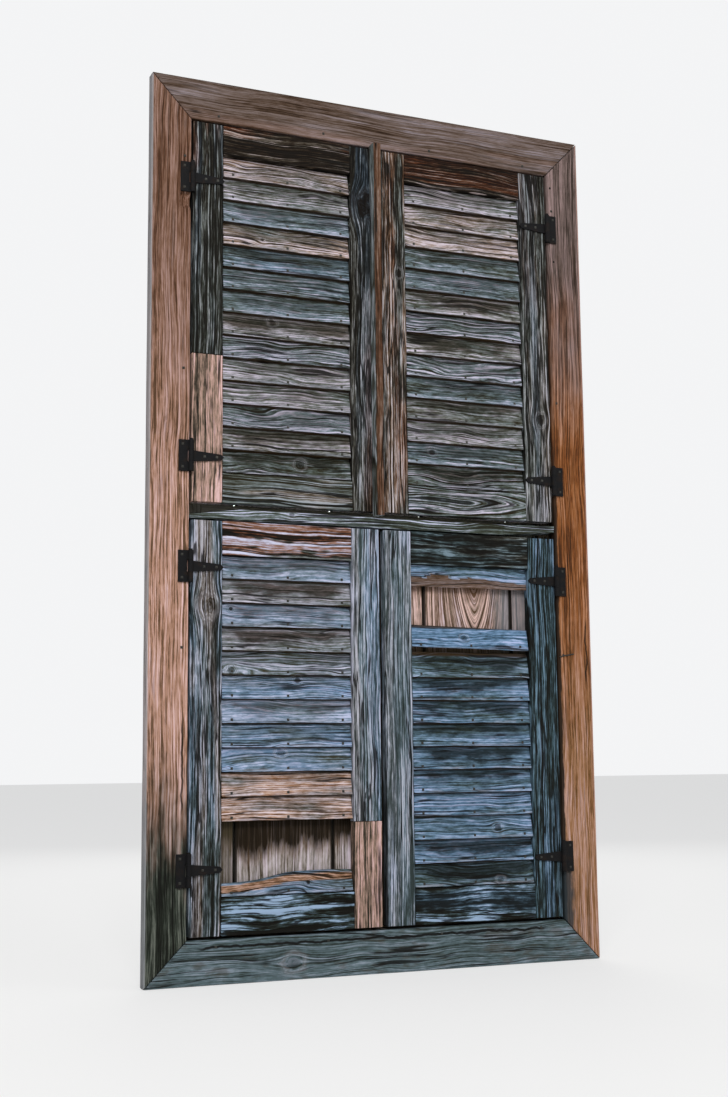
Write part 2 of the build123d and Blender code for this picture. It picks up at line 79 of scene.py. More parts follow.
# Five tones of each wood, from its cracks to its brightest ridges, as seen on a screen.
PALETTES = {
    "casing_left_low": ((12, 13, 9), (22, 25, 19), (34, 38, 32), (56, 62, 54), (96, 100, 92)),
    "casing_left_middle": ((84, 62, 44), (147, 110, 89), (168, 132, 116), (185, 150, 140), (202, 170, 168)),
    "casing_left_top": ((54, 32, 19), (80, 52, 36), (98, 70, 54), (116, 88, 74), (138, 110, 100)),
    "casing_right_low": ((84, 58, 30), (126, 87, 53), (143, 105, 77), (157, 121, 100), (176, 142, 132)),
    "casing_right_middle": ((60, 34, 15), (109, 61, 27), (126, 78, 41), (140, 93, 59), (163, 118, 90)),
    "casing_right_top": ((48, 38, 32), (78, 66, 61), (97, 82, 78), (114, 96, 93), (134, 114, 112)),
    "casing_head": ((36, 22, 12), (66, 50, 38), (90, 76, 69), (106, 93, 90), (124, 114, 118)),
    "casing_sill": ((36, 42, 38), (58, 70, 70), (75, 90, 94), (92, 107, 114), (122, 133, 144)),
    "stile_top": ((8, 6, 3), (18, 14, 9), (36, 34, 28), (66, 68, 62), (112, 118, 118)),
    "stile_upper": ((18, 17, 12), (42, 43, 38), (72, 77, 74), (102, 106, 106), (146, 148, 152)),
    "stile_lower": ((18, 19, 15), (40, 46, 45), (68, 79, 81), (98, 110, 116), (150, 154, 166)),
    "stile_lower_right": ((14, 16, 13), (28, 36, 36), (44, 60, 64), (66, 88, 98), (96, 122, 140)),
    "meeting_upper": ((20, 17, 12), (46, 44, 38), (76, 76, 70), (110, 110, 108), (156, 156, 160)),
    "meeting_lower": ((44, 54, 54), (72, 86, 92), (98, 112, 122), (124, 136, 148), (160, 166, 180)),
    "slats_upper": ((28, 23, 10), (58, 62, 52), (88, 99, 98), (126, 132, 138), (184, 178, 196)),
    "slats_lower_left": ((50, 48, 33), (79, 87, 84), (107, 118, 125), (136, 143, 156), (182, 182, 200)),
    "slats_lower_right": ((30, 36, 28), (54, 67, 65), (80, 100, 109), (104, 127, 145), (140, 157, 183)),
    "slats_warm": ((38, 20, 8), (96, 62, 36), (148, 110, 84), (178, 150, 134), (210, 192, 194)),
    "slats_blue": ((30, 44, 52), (60, 84, 104), (88, 118, 146), (114, 140, 172), (160, 174, 208)),
    "rust": ((26, 9, 3), (52, 24, 9), (82, 44, 22), (112, 84, 68), (148, 134, 130)),
    "lilac": ((22, 15, 9), (84, 48, 29), (130, 98, 83), (152, 143, 156), (186, 188, 210)),
    "bared": ((54, 34, 18), (110, 76, 46), (156, 118, 92), (190, 154, 136), (216, 192, 184)),
    "rail_top": ((12, 7, 3), (26, 16, 8), (50, 42, 32), (90, 84, 76), (146, 134, 134)),
    "rail_lower": ((10, 9, 5), (24, 27, 22), (46, 58, 58), (88, 108, 122), (138, 160, 186)),
    "rail_mid": ((32, 28, 17), (58, 60, 50), (82, 88, 84), (104, 112, 114), (136, 144, 152)),
    "planks_left": ((60, 50, 38), (114, 106, 98), (150, 142, 139), (172, 162, 165), (196, 184, 194)),
    "planks_right": ((74, 56, 40), (118, 98, 84), (148, 128, 120), (178, 148, 138), (206, 176, 168)),
    "planks_back": ((44, 38, 29), (74, 66, 54), (100, 91, 77), (122, 112, 98), (148, 138, 124)),
    "splice": ((30, 27, 20), (86, 74, 63), (138, 114, 101), (172, 140, 130), (198, 166, 165)),
    "transom": ((34, 34, 23), (59, 65, 56), (84, 93, 90), (112, 122, 126), (178, 182, 204)),
    "strip_front": ((34, 20, 11), (60, 38, 24), (80, 54, 38), (98, 76, 62), (128, 110, 102)),
    "strip_side": ((50, 48, 40), (72, 76, 72), (92, 100, 100), (112, 120, 122), (150, 154, 160)),
    "bare_inside": ((52, 44, 34), (78, 68, 55), (98, 87, 72), (116, 105, 90), (140, 130, 116)),
    "sash_paint": ((92, 88, 78), (132, 129, 118), (152, 149, 139), (166, 164, 155), (182, 181, 174)),
}

# How each row of slats has aged, top row first. A stop stands for a missing slat.
SLAT_LOOKS = {
    "upper_left": "rpgrbggmfppfmk",
    "upper_right": "prrggmfmfgmpgk",
    "lower_left": "lmlmfvlvvww..x",
    "lower_right": "t..Bkuuuuuvvuk",
}


class Look(NamedTuple):
    """How one slat has aged: brightness, warmth (below 0 is blue), strength of grain and stain."""

    tone: float
    warm: float
    figure: float
    stain: float


LOOKS = {
    "p": Look(0.62, 0.12, 0.75, 0.60),
    "l": Look(0.64, -0.45, 0.55, 0.65),
    "b": Look(0.38, -0.32, 0.35, 0.70),
    "B": Look(0.52, -2.50, 0.40, 0.00),
    "u": Look(0.54, -0.70, 0.28, 1.00),
    "v": Look(0.54, -0.80, 0.60, 0.25),
    "g": Look(0.46, -0.20, 0.20, 0.60),
    "m": Look(0.54, 0.15, 0.55, 1.00),
    "w": Look(0.60, 0.85, 0.55, 0.30),
    "r": Look(0.62, 0.45, 0.75, 0.45),
    "f": Look(0.52, -0.10, 1.30, 0.50),
    "k": Look(0.34, 0.00, 0.90, 1.00),
    "x": Look(0.26, -0.50, 0.80, 0.30),
    "t": Look(0.66, -0.60, 0.60, 0.10),
}


def srgb(tone):
    """A colour as seen on a screen, 0 to 255, in the linear values that a material takes."""
    linear = [((c / 255 + 0.055) / 1.055) ** 2.4 if c > 10 else c / 255 / 12.92 for c in tone]
    return (*linear, 1.0)


class WindowSettings(bpy.types.PropertyGroup):
    """Sizes and colours of the window's finish."""

    arris: bpy.props.FloatProperty(
        name="Arris", description="Rounding of the boards' long edges",
        default=0.0016, min=0.0002, unit="LENGTH")
    wear: bpy.props.FloatProperty(
        name="Wear", description="How far the soft grain has worn back",
        default=0.0011, min=0.0, unit="LENGTH")
    check_depth: bpy.props.FloatProperty(
        name="Check depth", description="Depth of the long cracks in the boards",
        default=0.0022, min=0.0, unit="LENGTH")
    cell_across: bpy.props.FloatProperty(
        name="Cell across", description="Mesh spacing across the grain",
        default=0.0032, min=0.001, unit="LENGTH")
    cell_along: bpy.props.FloatProperty(
        name="Cell along", description="Mesh spacing along the grain",
        default=0.011, min=0.002, unit="LENGTH")
    mitre_gap: bpy.props.FloatProperty(
        name="Mitre gap", description="Opening of the casing's mitres on each side",
        default=0.0006, min=0.0, unit="LENGTH")
    iron_colour: bpy.props.FloatVectorProperty(
        name="Iron", description="Colour of the hinges and nails", subtype="COLOR", size=4,
        default=srgb((9, 9, 11)), min=0.0, max=1.0)
    rust_colour: bpy.props.FloatVectorProperty(
        name="Rust", description="Colour of the rust on the iron", subtype="COLOR", size=4,
        default=srgb((22, 15, 11)), min=0.0, max=1.0)
    glass_colour: bpy.props.FloatVectorProperty(
        name="Glass", description="Tint of the panes", subtype="COLOR", size=4,
        default=srgb((222, 232, 228)), min=0.0, max=1.0)
    floor_colour: bpy.props.FloatVectorProperty(
        name="Floor", description="Colour of the floor", subtype="COLOR", size=4,
        default=srgb((236, 235, 232)), min=0.0, max=1.0)


class Num:
    """A number in a node tree, so that shader maths can be written as an expression."""

    def __init__(self, tree, socket):
        self.tree = tree
        self.socket = socket

    def maths(self, operation, *values):
        node = self.tree.nodes.new("ShaderNodeMath")
        node.operation = operation
        for slot, value in zip(node.inputs, (self, *values)):
            plug(self.tree, slot, value)
        return Num(self.tree, node.outputs[0])

    def __add__(self, other):
        return self.maths("ADD", other)

    __radd__ = __add__

    def __sub__(self, other):
        return self.maths("SUBTRACT", other)

    def __rsub__(self, other):
        return self * -1 + other

    def __mul__(self, other):
        return self.maths("MULTIPLY", other)

    __rmul__ = __mul__

    def clip(self):
        return self.maths("MAXIMUM", 0.0).maths("MINIMUM", 1.0)

    def root(self):
        return self.maths("SQRT")

    def most(self, other):
        return self.maths("MAXIMUM", other)


def plug(tree, socket, value):
    """Links or sets one input socket."""
    if isinstance(value, Num):
        value = value.socket
    if isinstance(value, bpy.types.NodeSocket):
        tree.links.new(value, socket)
    else:
        socket.default_value = value


class Paint:
    """One material and the nodes that make it."""

    def __init__(self, name):
        self.material = bpy.data.materials.new(name)
        self.material.use_nodes = True
        self.tree = self.material.node_tree
        self.shader = self.tree.nodes["Principled BSDF"]

    def node(self, kind, settings, values):
        """Adds a node: its settings are set first, then its sockets are set or linked."""
        node = self.tree.nodes.new("ShaderNode" + kind)
        for key, setting in settings.items():
            if key == "stops":
                set_stops(node.color_ramp, setting)
            else:
                setattr(node, key, setting)
        for key, value in values.items():
            plug(self.tree, node.inputs[key], value)
        return node

    def num(self, socket):
        return Num(self.tree, socket)

    def noise(self, vector, scale, detail=2.0, roughness=0.5):
        values = {"Vector": vector, "Scale": scale, "Detail": detail, "Roughness": roughness}
        return self.num(self.node("TexNoise", {}, values).outputs["Fac"])

    def line_noise(self, place, scale, detail=2.0, roughness=0.5):
        """Noise along one number."""
        values = {"W": place, "Scale": scale, "Detail": detail, "Roughness": roughness}
        node = self.node("TexNoise", {"noise_dimensions": "1D"}, values)
        return self.num(node.outputs["Fac"])

    def band(self, value, low, high):
        """Rises smoothly from 0 at low to 1 at high."""
        settings = {"interpolation_type": "SMOOTHSTEP"}
        values = {"Value": value, "From Min": low, "From Max": high}
        return self.num(self.node("MapRange", settings, values).outputs["Result"])

    def vector(self, x, y, z):
        return self.node("CombineXYZ", {}, {"X": x, "Y": y, "Z": z}).outputs[0]

    def split(self, vector):
        node = self.node("SeparateXYZ", {}, {0: vector})
        return [self.num(socket) for socket in node.outputs]

    def ramp(self, value, stops):
        return self.node("ValToRGB", {"stops": stops}, {"Fac": value}).outputs["Color"]

    def blend(self, factor, first, second, way="MIX"):
        """Colours mixed by a factor. Sockets 6 and 7 are the colour inputs."""
        settings = {"data_type": "RGBA", "blend_type": way}
        return self.node("Mix", settings, {0: factor, 6: first, 7: second}).outputs[2]

    def finish(self, values):
        for key, value in values.items():
            plug(self.tree, self.shader.inputs[key], value)
        return self.material


def set_stops(ramp, stops):
    while len(ramp.elements) < len(stops):
        ramp.elements.new(0.5)
    for element, (place, colour) in zip(ramp.elements, stops):
        element.position = place
        element.color = colour


# Where the five tones of a palette lie along its ramp
TONE_PLACES = (0.04, 0.26, 0.50, 0.74, 0.98)


def palette_stops(name):
    return [(place, srgb(tone)) for place, tone in zip(TONE_PLACES, PALETTES[name])]


class Timber(NamedTuple):
    """How a kind of board shows its grain: lines to the metre, then how strongly each thing shows."""

    rings: float = 240.0
    ridges: float = 1.0
    fibres: float = 2.2
    bands: float = 0.8
    clouds: float = 0.9
    wander: float = 0.030
    swirl: float = 0.034
    short: float = 0.022
    mottle: float = 1.2
    checks: float = 1.0
    bump: float = 0.6


CASING_TIMBER = Timber(ridges=0.6, fibres=3.2, bands=1.5, clouds=1.2, wander=0.020, swirl=0.012,
                       mottle=0.8, checks=0.5)
HEAD_TIMBER = CASING_TIMBER._replace(ridges=0.3, fibres=1.8, bands=1.2, mottle=0.6)
SILL_TIMBER = Timber(ridges=0.7, fibres=1.8, bands=1.2, clouds=0.8, wander=0.020, checks=1.4)
STILE_TIMBER = Timber(rings=250.0, ridges=1.2, fibres=3.0, bands=1.6, clouds=1.5, wander=0.014, swirl=0.014,
                      short=0.042, checks=2.4, bump=0.9)
RAIL_TIMBER = Timber(rings=230.0, ridges=1.2, clouds=1.2, swirl=0.030, checks=1.8, bump=0.9)
BANDED_TIMBER = RAIL_TIMBER._replace(rings=70.0, ridges=1.25, fibres=1.6, bands=1.4)
CLOUDED_TIMBER = RAIL_TIMBER._replace(rings=90.0, ridges=0.9, fibres=1.6, bands=2.6, clouds=3.4,
                                      short=0.05, mottle=1.6)
SLAT_TIMBER = Timber(rings=250.0, ridges=0.8, fibres=1.6, swirl=0.040, mottle=1.5, checks=1.2, bump=0.7)
PLANK_TIMBER = Timber(rings=200.0, ridges=0.6, fibres=1.6, clouds=1.2, wander=0.012, swirl=0.012,
                     checks=0.5)
ARCHED_PLANK_TIMBER = PLANK_TIMBER._replace(rings=150.0, ridges=1.2, fibres=2.0, clouds=1.8, wander=0.020)
SPLICE_TIMBER = Timber(rings=130.0, ridges=0.6, bands=1.4, wander=0.012, swirl=0.012, checks=1.6)
PAINTED_TIMBER = Timber(rings=120.0, ridges=0.3, fibres=1.0, mottle=0.4, checks=0.4)
# The depths between which a plank's side turns from the wood of its front to that of its back
PLANK_SIDE_START = 0.003
PLANK_SIDE_END = 0.007

BLACK_CRACK = srgb((10, 8, 5))
LAP_SHADE = srgb((46, 31, 11))
WOOD_DUST = srgb((92, 92, 86))
# Painted highlight along the lip at the foot of each slat
LIP_HIGHLIGHT = srgb((168, 170, 188))
PALE_RIM = srgb((150, 146, 152))
KNOT_HEART = srgb((14, 9, 6))
# Painted highlight on the left casing board's outer arris
LEFT_ARRIS_HIGHLIGHT = srgb((140, 142, 146))
# Painted highlight on the right casing board's outer arris
RIGHT_ARRIS_HIGHLIGHT = srgb((178, 142, 130))
MARGIN_SHADE = srgb((26, 20, 14))
BLUE_FOOT = srgb((38, 46, 50))
SILL_PATCH = srgb((62, 52, 38))
JOINT_DIRT = srgb((22, 17, 10))
DRIP_FRINGE = srgb((92, 66, 48))
BROWN_EDGE = srgb((66, 58, 42))
GREY_PLANK = srgb((104, 108, 114))
# Painted shade on the lower right leaf's planks below the gap under the slipped slat
PAINTED_GAP_SHADE = srgb((40, 34, 18))

# A stain darkens the wood of the slats by its tone
OLIVE_STAIN = srgb((92, 86, 66))
UMBER_STAIN = srgb((92, 78, 62))
MOSS_STAIN = srgb((58, 60, 50))
STAINS = {"upper_left": OLIVE_STAIN, "upper_right": OLIVE_STAIN, "lower_left": UMBER_STAIN,
          "lower_right": MOSS_STAIN}


class Marks:
    """What each point of a board carries for its material."""

    def __init__(self, paint):
        mark = paint.node("Attribute", {"attribute_name": "board"}, {})
        state = paint.node("Attribute", {"attribute_name": "state"}, {})
        self.seed, self.height, self.tone = paint.split(mark.outputs["Color"])
        self.warm = paint.num(mark.outputs["Alpha"])
        self.figure, self.stain, self.bared = paint.split(state.outputs["Color"])
        self.inward = paint.num(state.outputs["Alpha"])


class GrainField:
    """The grain of a board at a point: its ridges, fibres, clouds, cracks and knots."""

    def __init__(self, paint, axis, timber, marks, knots, arch):
        place = paint.node("TexCoord", {}, {}).outputs["Object"]
        x, y, z = paint.split(place)
        along, side = (x, z) if axis == X_AXIS else (z, x)
        shift = marks.seed * 9.0
        self.height = z
        self.from_left = x
        self.depth = y
        bend = paint.noise(paint.vector(side * 0.8 + shift, y, along * 0.7 + shift), 5.0, 1.0) - 0.5
        swirl = paint.noise(paint.vector(side * 1.5 + shift, y, along * 0.45 + shift), 15.0, 1.0) - 0.5
        flow = side + bend * timber.wander + swirl * marks.figure * timber.swirl
        if arch:
            flow = arched(flow, along, arch)
        cloud_place = paint.vector(side * 1.6 + shift, y, along * 0.5 + shift)
        self.cloud = paint.noise(cloud_place, 11.0, 3.0, 0.6) - 0.5
        self.blotch = paint.noise(cloud_place, 34.0, 3.0, 0.65) - 0.5
        self.knots = Knots(paint, along, side, self.blotch, knots)
        flow = flow - self.knots.pull
        lines = paint.vector(flow + shift, y + shift, along * timber.short)
        ring = paint.line_noise(flow + shift, timber.rings, 2.0, 0.7) - 0.5
        fade = paint.noise(lines, 70.0, 1.0) * 1.7
        self.ridge = (paint.band(ring, -0.22, 0.20) - 0.5) * fade * (marks.figure * 0.8 + 0.35)
        self.fibre = paint.noise(lines, 330.0, 3.0, 0.65) - 0.5
        self.band = paint.noise(lines, 80.0, 2.0) - 0.5
        dashes = paint.vector(flow + shift, y, along * 0.20 + shift)
        self.mottle = paint.noise(dashes, 210.0, 3.0, 0.65) - 0.5
        split = paint.noise(lines, 60.0, 2.0, 0.6) - 0.5
        split = 1 - paint.band(split.maths("ABSOLUTE"), 0.006, 0.030)
        self.crack = (split * paint.band(self.cloud, -0.12, 0.08) * timber.checks).clip()
        self.lines = lines


def arched(flow, along, arch):
    """Pointed arches in the grain about a centre line, beyond a place along it."""
    centre, start, width, slope = arch
    off = flow - centre
    near = (off * off * (-1 / (width * width))).maths("EXPONENT")
    return (off * off + 0.00003).root() + (along - start).clip() * near * slope


class Knots:
    """Knots at given places: how they bend the grain, and their hearts, rims and rings."""

    def __init__(self, paint, along, side, blotch, knots):
        self.pull = 0.0
        self.heart = None
        for at_along, at_side, radius, dark in knots:
            up = (along - at_along) * (0.85 / radius)
            across = (side - at_side) * (1 / radius)
            square = across * across + up * up
            self.pull = (side - at_side) * (square * -0.32).maths("EXPONENT") * 0.7 + self.pull
            radii = square.root() + blotch * 2.2
            heart = (1 - paint.band(radii, 0.45, 1.05)) * dark
            rim = paint.band(radii, 0.9, 1.15) * (1 - paint.band(radii, 1.25, 1.9)) * (1.1 - dark)
            ring = (radii * 15.0).maths("SINE") * (1 - paint.band(radii, 1.2, 2.0))
            if self.heart is None:
                self.heart, self.rim, self.ring = heart, rim, ring
            else:
                self.heart, self.rim = self.heart.most(heart), self.rim.most(rim)
                self.ring = self.ring + ring


def zoned(paint, field, value, zones):
    """The palettes of a board, blended one into the next up its height."""
    colour = None
    for height, palette in zones:
        tones = paint.ramp(value, palette_stops(palette))
        if colour is None:
            colour = tones
        else:
            middle = (height + last_height) / 2
            spread = (height - last_height) * 0.34
            ragged = field.height + field.cloud * 0.5 + field.band * 0.2
            rise = paint.band(ragged, middle - spread, middle + spread)
            colour = paint.blend(rise, colour, tones)
        last_height = height
    return colour


def slat_stains_and_painted_light(paint, field, marks, colour, stain_tone):
    """A slat's stains, dark and ragged in its upper half, with painted brown shade under the lap and on its
    foot, and a painted highlight along its lip.
    """
    ends = paint.band(marks.inward, 0.01, 0.22)
    ragged = marks.height + field.blotch * 0.9 + field.cloud * 1.1 + field.fibre * 0.5 + ends * 0.30
    clear = 1 - paint.band(marks.height + field.blotch * 0.3, 0.70, 0.80) * 0.55
    texture = field.mottle * 1.6 + field.blotch + 1.0
    stain = paint.band(ragged, 0.40, 1.02) * marks.stain * clear * texture * 1.15
    colour = paint.blend(stain.clip() * 0.92, colour, stain_tone, "MULTIPLY")
    # Painted shade in a band just under the foot of the slat above
    lap = paint.band(marks.height + field.fibre * 0.06, 0.81, 0.875)
    colour = paint.blend(lap * 0.9, colour, LAP_SHADE)
    # Painted highlight along the slat's lip
    lip = paint.band(marks.height, 0.02, 0.05) - paint.band(marks.height + field.blotch * 0.3, 0.08, 0.17)
    colour = paint.blend((lip * (field.blotch * 3.0 + 0.16)).clip(), colour, LIP_HIGHLIGHT)
    # Painted shade on the slat's foot, its underside
    under = 1 - paint.band(marks.height, 0.010, 0.026)
    return paint.blend(under * 0.9, colour, LAP_SHADE)


def wood(name, axis, zones, timber, tints=(), knots=(), arch=None, stain=None, extra=None, behind=None):
    """Weathered wood. Zones are (height, palette) from the bottom up; the grain runs along an axis.

    A tint is a palette that streaks the board and how much of it there is. An arch is a centre
    line across the grain, a place along it, a width and a slope. A stain marks the wood of slats.
    Extra paints a board's own marks. Behind is the palette of a plank's back.
    """
    paint = Paint(name)
    marks = Marks(paint)
    field = GrainField(paint, axis, timber, marks, knots, arch)
    value = field.ridge * timber.ridges + field.fibre * timber.fibres + field.band * timber.bands
    value = value + field.cloud * timber.clouds + field.mottle * timber.mottle
    value = value + (marks.tone - 0.5) * 0.7 + 0.5
    if knots:
        value = value + field.knots.ring * 0.16
    colour = zoned(paint, field, value, zones)
    for count, (palette, amount) in enumerate(tints):
        streak = paint.noise(field.lines, 24.0 + count * 9.0, 2.0) + field.cloud * 0.5
        amount = (paint.band(streak, 0.46, 0.62) * amount).clip()
        colour = paint.blend(amount, colour, paint.ramp(value, palette_stops(palette)))
    if stain:
        warm = marks.warm * (field.cloud * 3.5 + field.band * 1.5 + 0.85)
        colour = paint.blend(warm.clip(), colour, paint.ramp(value, palette_stops("slats_warm")))
        cold = marks.warm * -1.0 * (field.cloud * 3.0 + field.band * 1.5 + 0.85)
        colour = paint.blend(cold.clip(), colour, paint.ramp(value, palette_stops("slats_blue")))
        colour = slat_stains_and_painted_light(paint, field, marks, colour, stain)
        colour = paint.blend(marks.bared, colour, paint.ramp(value, palette_stops("bared")))
    if extra:
        colour = extra(paint, field, marks, colour)
    if behind:
        back = paint.band(field.depth, PLANK_SIDE_START, PLANK_SIDE_END)
        colour = paint.blend(back, colour, paint.ramp(value, palette_stops(behind)))
        colour = shaded_joints(paint, marks, colour)
    colour = paint.blend((field.crack * 0.9).clip(), colour, BLACK_CRACK)
    if knots:
        colour = paint.blend((field.knots.rim * 0.35).clip(), colour, PALE_RIM)
        rings = field.knots.ring * 0.12 + 0.9
        colour = paint.blend((field.knots.heart * rings).clip(), colour, KNOT_HEART)
    height_map = field.ridge * 1.2 + field.fibre * 0.8 - field.crack
    normal = paint.node("Bump", {}, {"Strength": timber.bump, "Distance": 0.0016, "Height": height_map})
    return paint.finish({
        "Base Color": colour,
        "Roughness": (field.fibre * 0.4 + 0.82).clip(),
        "Specular IOR Level": 0.12,
        "Normal": normal.outputs["Normal"],
    })


def long_crack(paint, colour, across, along, crack):
    """A dark crack along the grain: its place across the board, its two ends, width and strength."""
    at, start, end, width, strength = crack
    wave = paint.line_noise(along, 22.0, 2.0) - 0.5
    off = (across - at + wave * width * 2.5).maths("ABSOLUTE")
    line = 1 - paint.band(off, width * 0.35, width * 0.75)
    ends = paint.band(along, start, start + 0.03) * (1 - paint.band(along, end - 0.03, end))
    return paint.blend(line * ends * strength, colour, BLACK_CRACK)


def iron(name, settings, dust):
    """Black iron, pitted and dull, with a little rust and some dust of the wood."""
    paint = Paint(name)
    place = paint.node("TexCoord", {}, {}).outputs["Object"]
    pits = paint.noise(place, 420.0, 3.0, 0.6)
    rust = paint.band(paint.noise(place, 60.0, 3.0, 0.6), 0.48, 0.70)
    colour = paint.blend(rust, tuple(settings.iron_colour), tuple(settings.rust_colour))
    colour = paint.blend((pits * dust * 2.0).clip(), colour, WOOD_DUST)
    normal = paint.node("Bump", {}, {"Strength": 0.6, "Distance": 0.0008, "Height": pits})
    return paint.finish({
        "Base Color": colour,
        "Metallic": 0.0,
        "Roughness": (pits * 0.35 + 0.55).clip(),
        "Specular IOR Level": 0.14,
        "Normal": normal.outputs["Normal"],
    })


def old_glass(settings):
    """Thin old panes with a slight ripple and dust."""
    paint = Paint("old_glass")
    place = paint.node("TexCoord", {}, {}).outputs["Object"]
    dust = paint.noise(place, 14.0, 4.0, 0.6)
    ripple = paint.noise(place, 9.0, 1.0)
    normal = paint.node("Bump", {}, {"Strength": 0.25, "Distance": 0.004, "Height": ripple})
    return paint.finish({
        "Base Color": tuple(settings.glass_colour),
        "Roughness": (dust * 0.22).clip(),
        "Transmission Weight": 0.95,
        "IOR": 1.45,
        "Normal": normal.outputs["Normal"],
    })


def solids_of(node):
    """The points of each separate solid of a CAD node, from its highest to its lowest, then from left."""
    bm = bmesh.new()
    bm.from_mesh(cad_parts[node].data)
    bmesh.ops.remove_doubles(bm, verts=bm.verts, dist=SAME_POINT)
    groups = []
    waiting = set(bm.verts)
    while waiting:
        group = []
        queue = [waiting.pop()]
        while queue:
            vert = queue.pop()
            group.append(vert.co.copy())
            for edge in vert.link_edges:
                other = edge.other_vert(vert)
                if other in waiting:
                    waiting.remove(other)
                    queue.append(other)
        groups.append(group)
    bm.free()
    return sorted(groups, key=lambda points: (-max(p.z for p in points), min(p.x for p in points)))


def corners(points):
    low = Vector([min(p[i] for p in points) for i in range(3)])
    high = Vector([max(p[i] for p in points) for i in range(3)])
    return low, high


def outline(points):
    """The lower and upper outline of a solid, seen from the front, as functions of x."""
    columns = {}
    for p in points:
        columns.setdefault(round(p.x, 4), []).append(p.z)
    spans = {x: (min(zs), max(zs)) for x, zs in columns.items()}
    firm = {x: span for x, span in spans.items() if span[1] - span[0] > 0.004}
    lower = {x: span[0] for x, span in firm.items()}
    upper = {x: span[1] for x, span in firm.items()}
    base_lower = dict(lower)
    base_upper = dict(upper)
    for x, (z0, z1) in spans.items():
        if x not in firm:
            middle = (between(base_lower, x) + between(base_upper, x)) / 2
            side = upper if (z0 + z1) / 2 > middle else lower
            side[x] = (z0 + z1) / 2
    return (lambda x: between(lower, x)), (lambda x: between(upper, x))


def between(stops, x):
    """Reads a value at x from a dictionary of x to value, in straight lines."""
    xs = sorted(stops)
    if x <= xs[0]:
        return stops[xs[0]]
    for x0, x1 in zip(xs, xs[1:]):
        if x <= x1:
            share = (x - x0) / (x1 - x0)
            return stops[x0] + share * (stops[x1] - stops[x0])
    return stops[xs[-1]]


def block(low, high, grain, settings, coarse=1.0):
    """A board with rounded arrises, cut into fine cells across the grain and longer ones along it."""
    bm = bmesh.new()
    bmesh.ops.create_cube(bm, size=1.0)
    size = high - low
    bmesh.ops.scale(bm, vec=size, verts=bm.verts)
    bmesh.ops.translate(bm, vec=(low + high) / 2, verts=bm.verts)
    arris = min(settings.arris, min(size) / 4)
    bmesh.ops.bevel(bm, geom=bm.edges[:], offset=arris, offset_type="OFFSET", segments=2, profile=0.5,
                    affect="EDGES", material=-1)
    for axis in range(3):
        cell = settings.cell_along if axis == grain else settings.cell_across
        if axis == 1:
            cell *= 2.0
        slice_along(bm, axis, cell * coarse)
    return bm


def slice_along(bm, axis, cell):
    """Divides every edge that runs along an axis, which slices the board across that axis."""
    edges = []
    for edge in bm.edges:
        run = edge.verts[1].co - edge.verts[0].co
        if abs(run[axis]) > 0.999 * run.length:
            edges.append(edge)
    longest = max(edge.calc_length() for edge in edges)
    long_edges = [edge for edge in edges if edge.calc_length() > longest * 0.5]
    cuts = int(longest / cell)
    if cuts:
        bmesh.ops.subdivide_edges(bm, edges=long_edges, cuts=cuts, use_grid_fill=True)


# A long check opens where its noise comes nearer to zero than this
CHECK_EDGE = 0.05


def weather(bm, grain, seed, settings, strength=1.0):
    """Wears the soft grain back and opens long checks. The surface only moves inwards."""
    bm.normal_update()
    offset = Vector((seed * 7.31, seed * 3.17, seed * 5.73))
    steps = []
    for vert in bm.verts:
        place = vert.co.copy()
        place[grain] *= 0.05
        ridge = 0.5 + 0.5 * noise.noise(place * 115 + offset)
        broad = 0.5 + 0.5 * noise.noise(vert.co * 6 + offset)
        depth = settings.wear * ridge * (0.4 + 1.2 * broad)
        check = abs(noise.noise(place * 38 + offset * 2))
        if check < CHECK_EDGE and abs(vert.normal.y) > 0.5:
            depth += settings.check_depth * (1 - check / CHECK_EDGE) * broad
        steps.append(vert.normal * depth * strength)
    for vert, step in zip(bm.verts, steps):
        vert.co -= step


class Piece:
    """Boards that are gathered into one object."""

    def __init__(self, name):
        self.name = name
        self.bm = bmesh.new()
        self.marks = []
        self.states = []

    def add(self, part, seed, look, heights=None, bared=None, inward=None):
        """Adds a part with its marks: how far up it each point is, and how it has aged there."""
        count = len(part.verts)
        heights = heights or [0.5] * count
        bared = bared or [0.0] * count
        inward = inward or [0.5] * count
        for height, bare, end in zip(heights, bared, inward):
            self.marks += [seed % 1.0, height, look.tone, look.warm]
            self.states += [look.figure, look.stain, bare, end]
        for face in part.faces:
            face.smooth = True
        mesh = bpy.data.meshes.new("part")
        part.to_mesh(mesh)
        part.free()
        self.bm.from_mesh(mesh)
        bpy.data.meshes.remove(mesh)

    def build(self, materials, body, nodes):
        mesh = bpy.data.meshes.new(self.name)
        self.bm.to_mesh(mesh)
        self.bm.free()
        for name, values in (("board", self.marks), ("state", self.states)):
            attribute = mesh.attributes.new(name, "FLOAT_COLOR", "POINT")
            attribute.data.foreach_set("color", values)
        for material in materials:
            mesh.materials.append(material)
        piece = bpy.data.objects.new(self.name, mesh)
        bpy.context.scene.collection.objects.link(piece)
        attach(piece, body)
        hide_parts(*nodes)
        return piece


def seed_of(name):
    """A fixed number between 0 and 1 for a piece's name."""
    return (sum(ord(c) * (i + 3) for i, c in enumerate(name)) * 0.6180339) % 1.0


PLAIN_LOOK = Look(0.5, 0.0, 0.7, 0.0)


def plain_board(node, grain, material, body, settings, look=PLAIN_LOOK, box=None):
    """Replaces a straight CAD board by a worn one that fills the same box, or a given one."""
    low, high = box or reach(node)
    seed = seed_of(node)
    bm = block(low, high, grain, settings)
    weather(bm, grain, seed * 10, settings)
    piece = Piece(node + "_board")
    piece.add(bm, seed, look)
    return piece.build([material], body, [node])


def finish_node(node, material):
    """Gives a CAD node that keeps its own shape its material."""
    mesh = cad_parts[node].data
    mesh.materials.clear()
    mesh.materials.append(material)


# How far a forged edge is rounded, and the angle from which an edge counts as sharp
FORGED_EDGE = 0.0006
SHARP_ANGLE = math.radians(40)


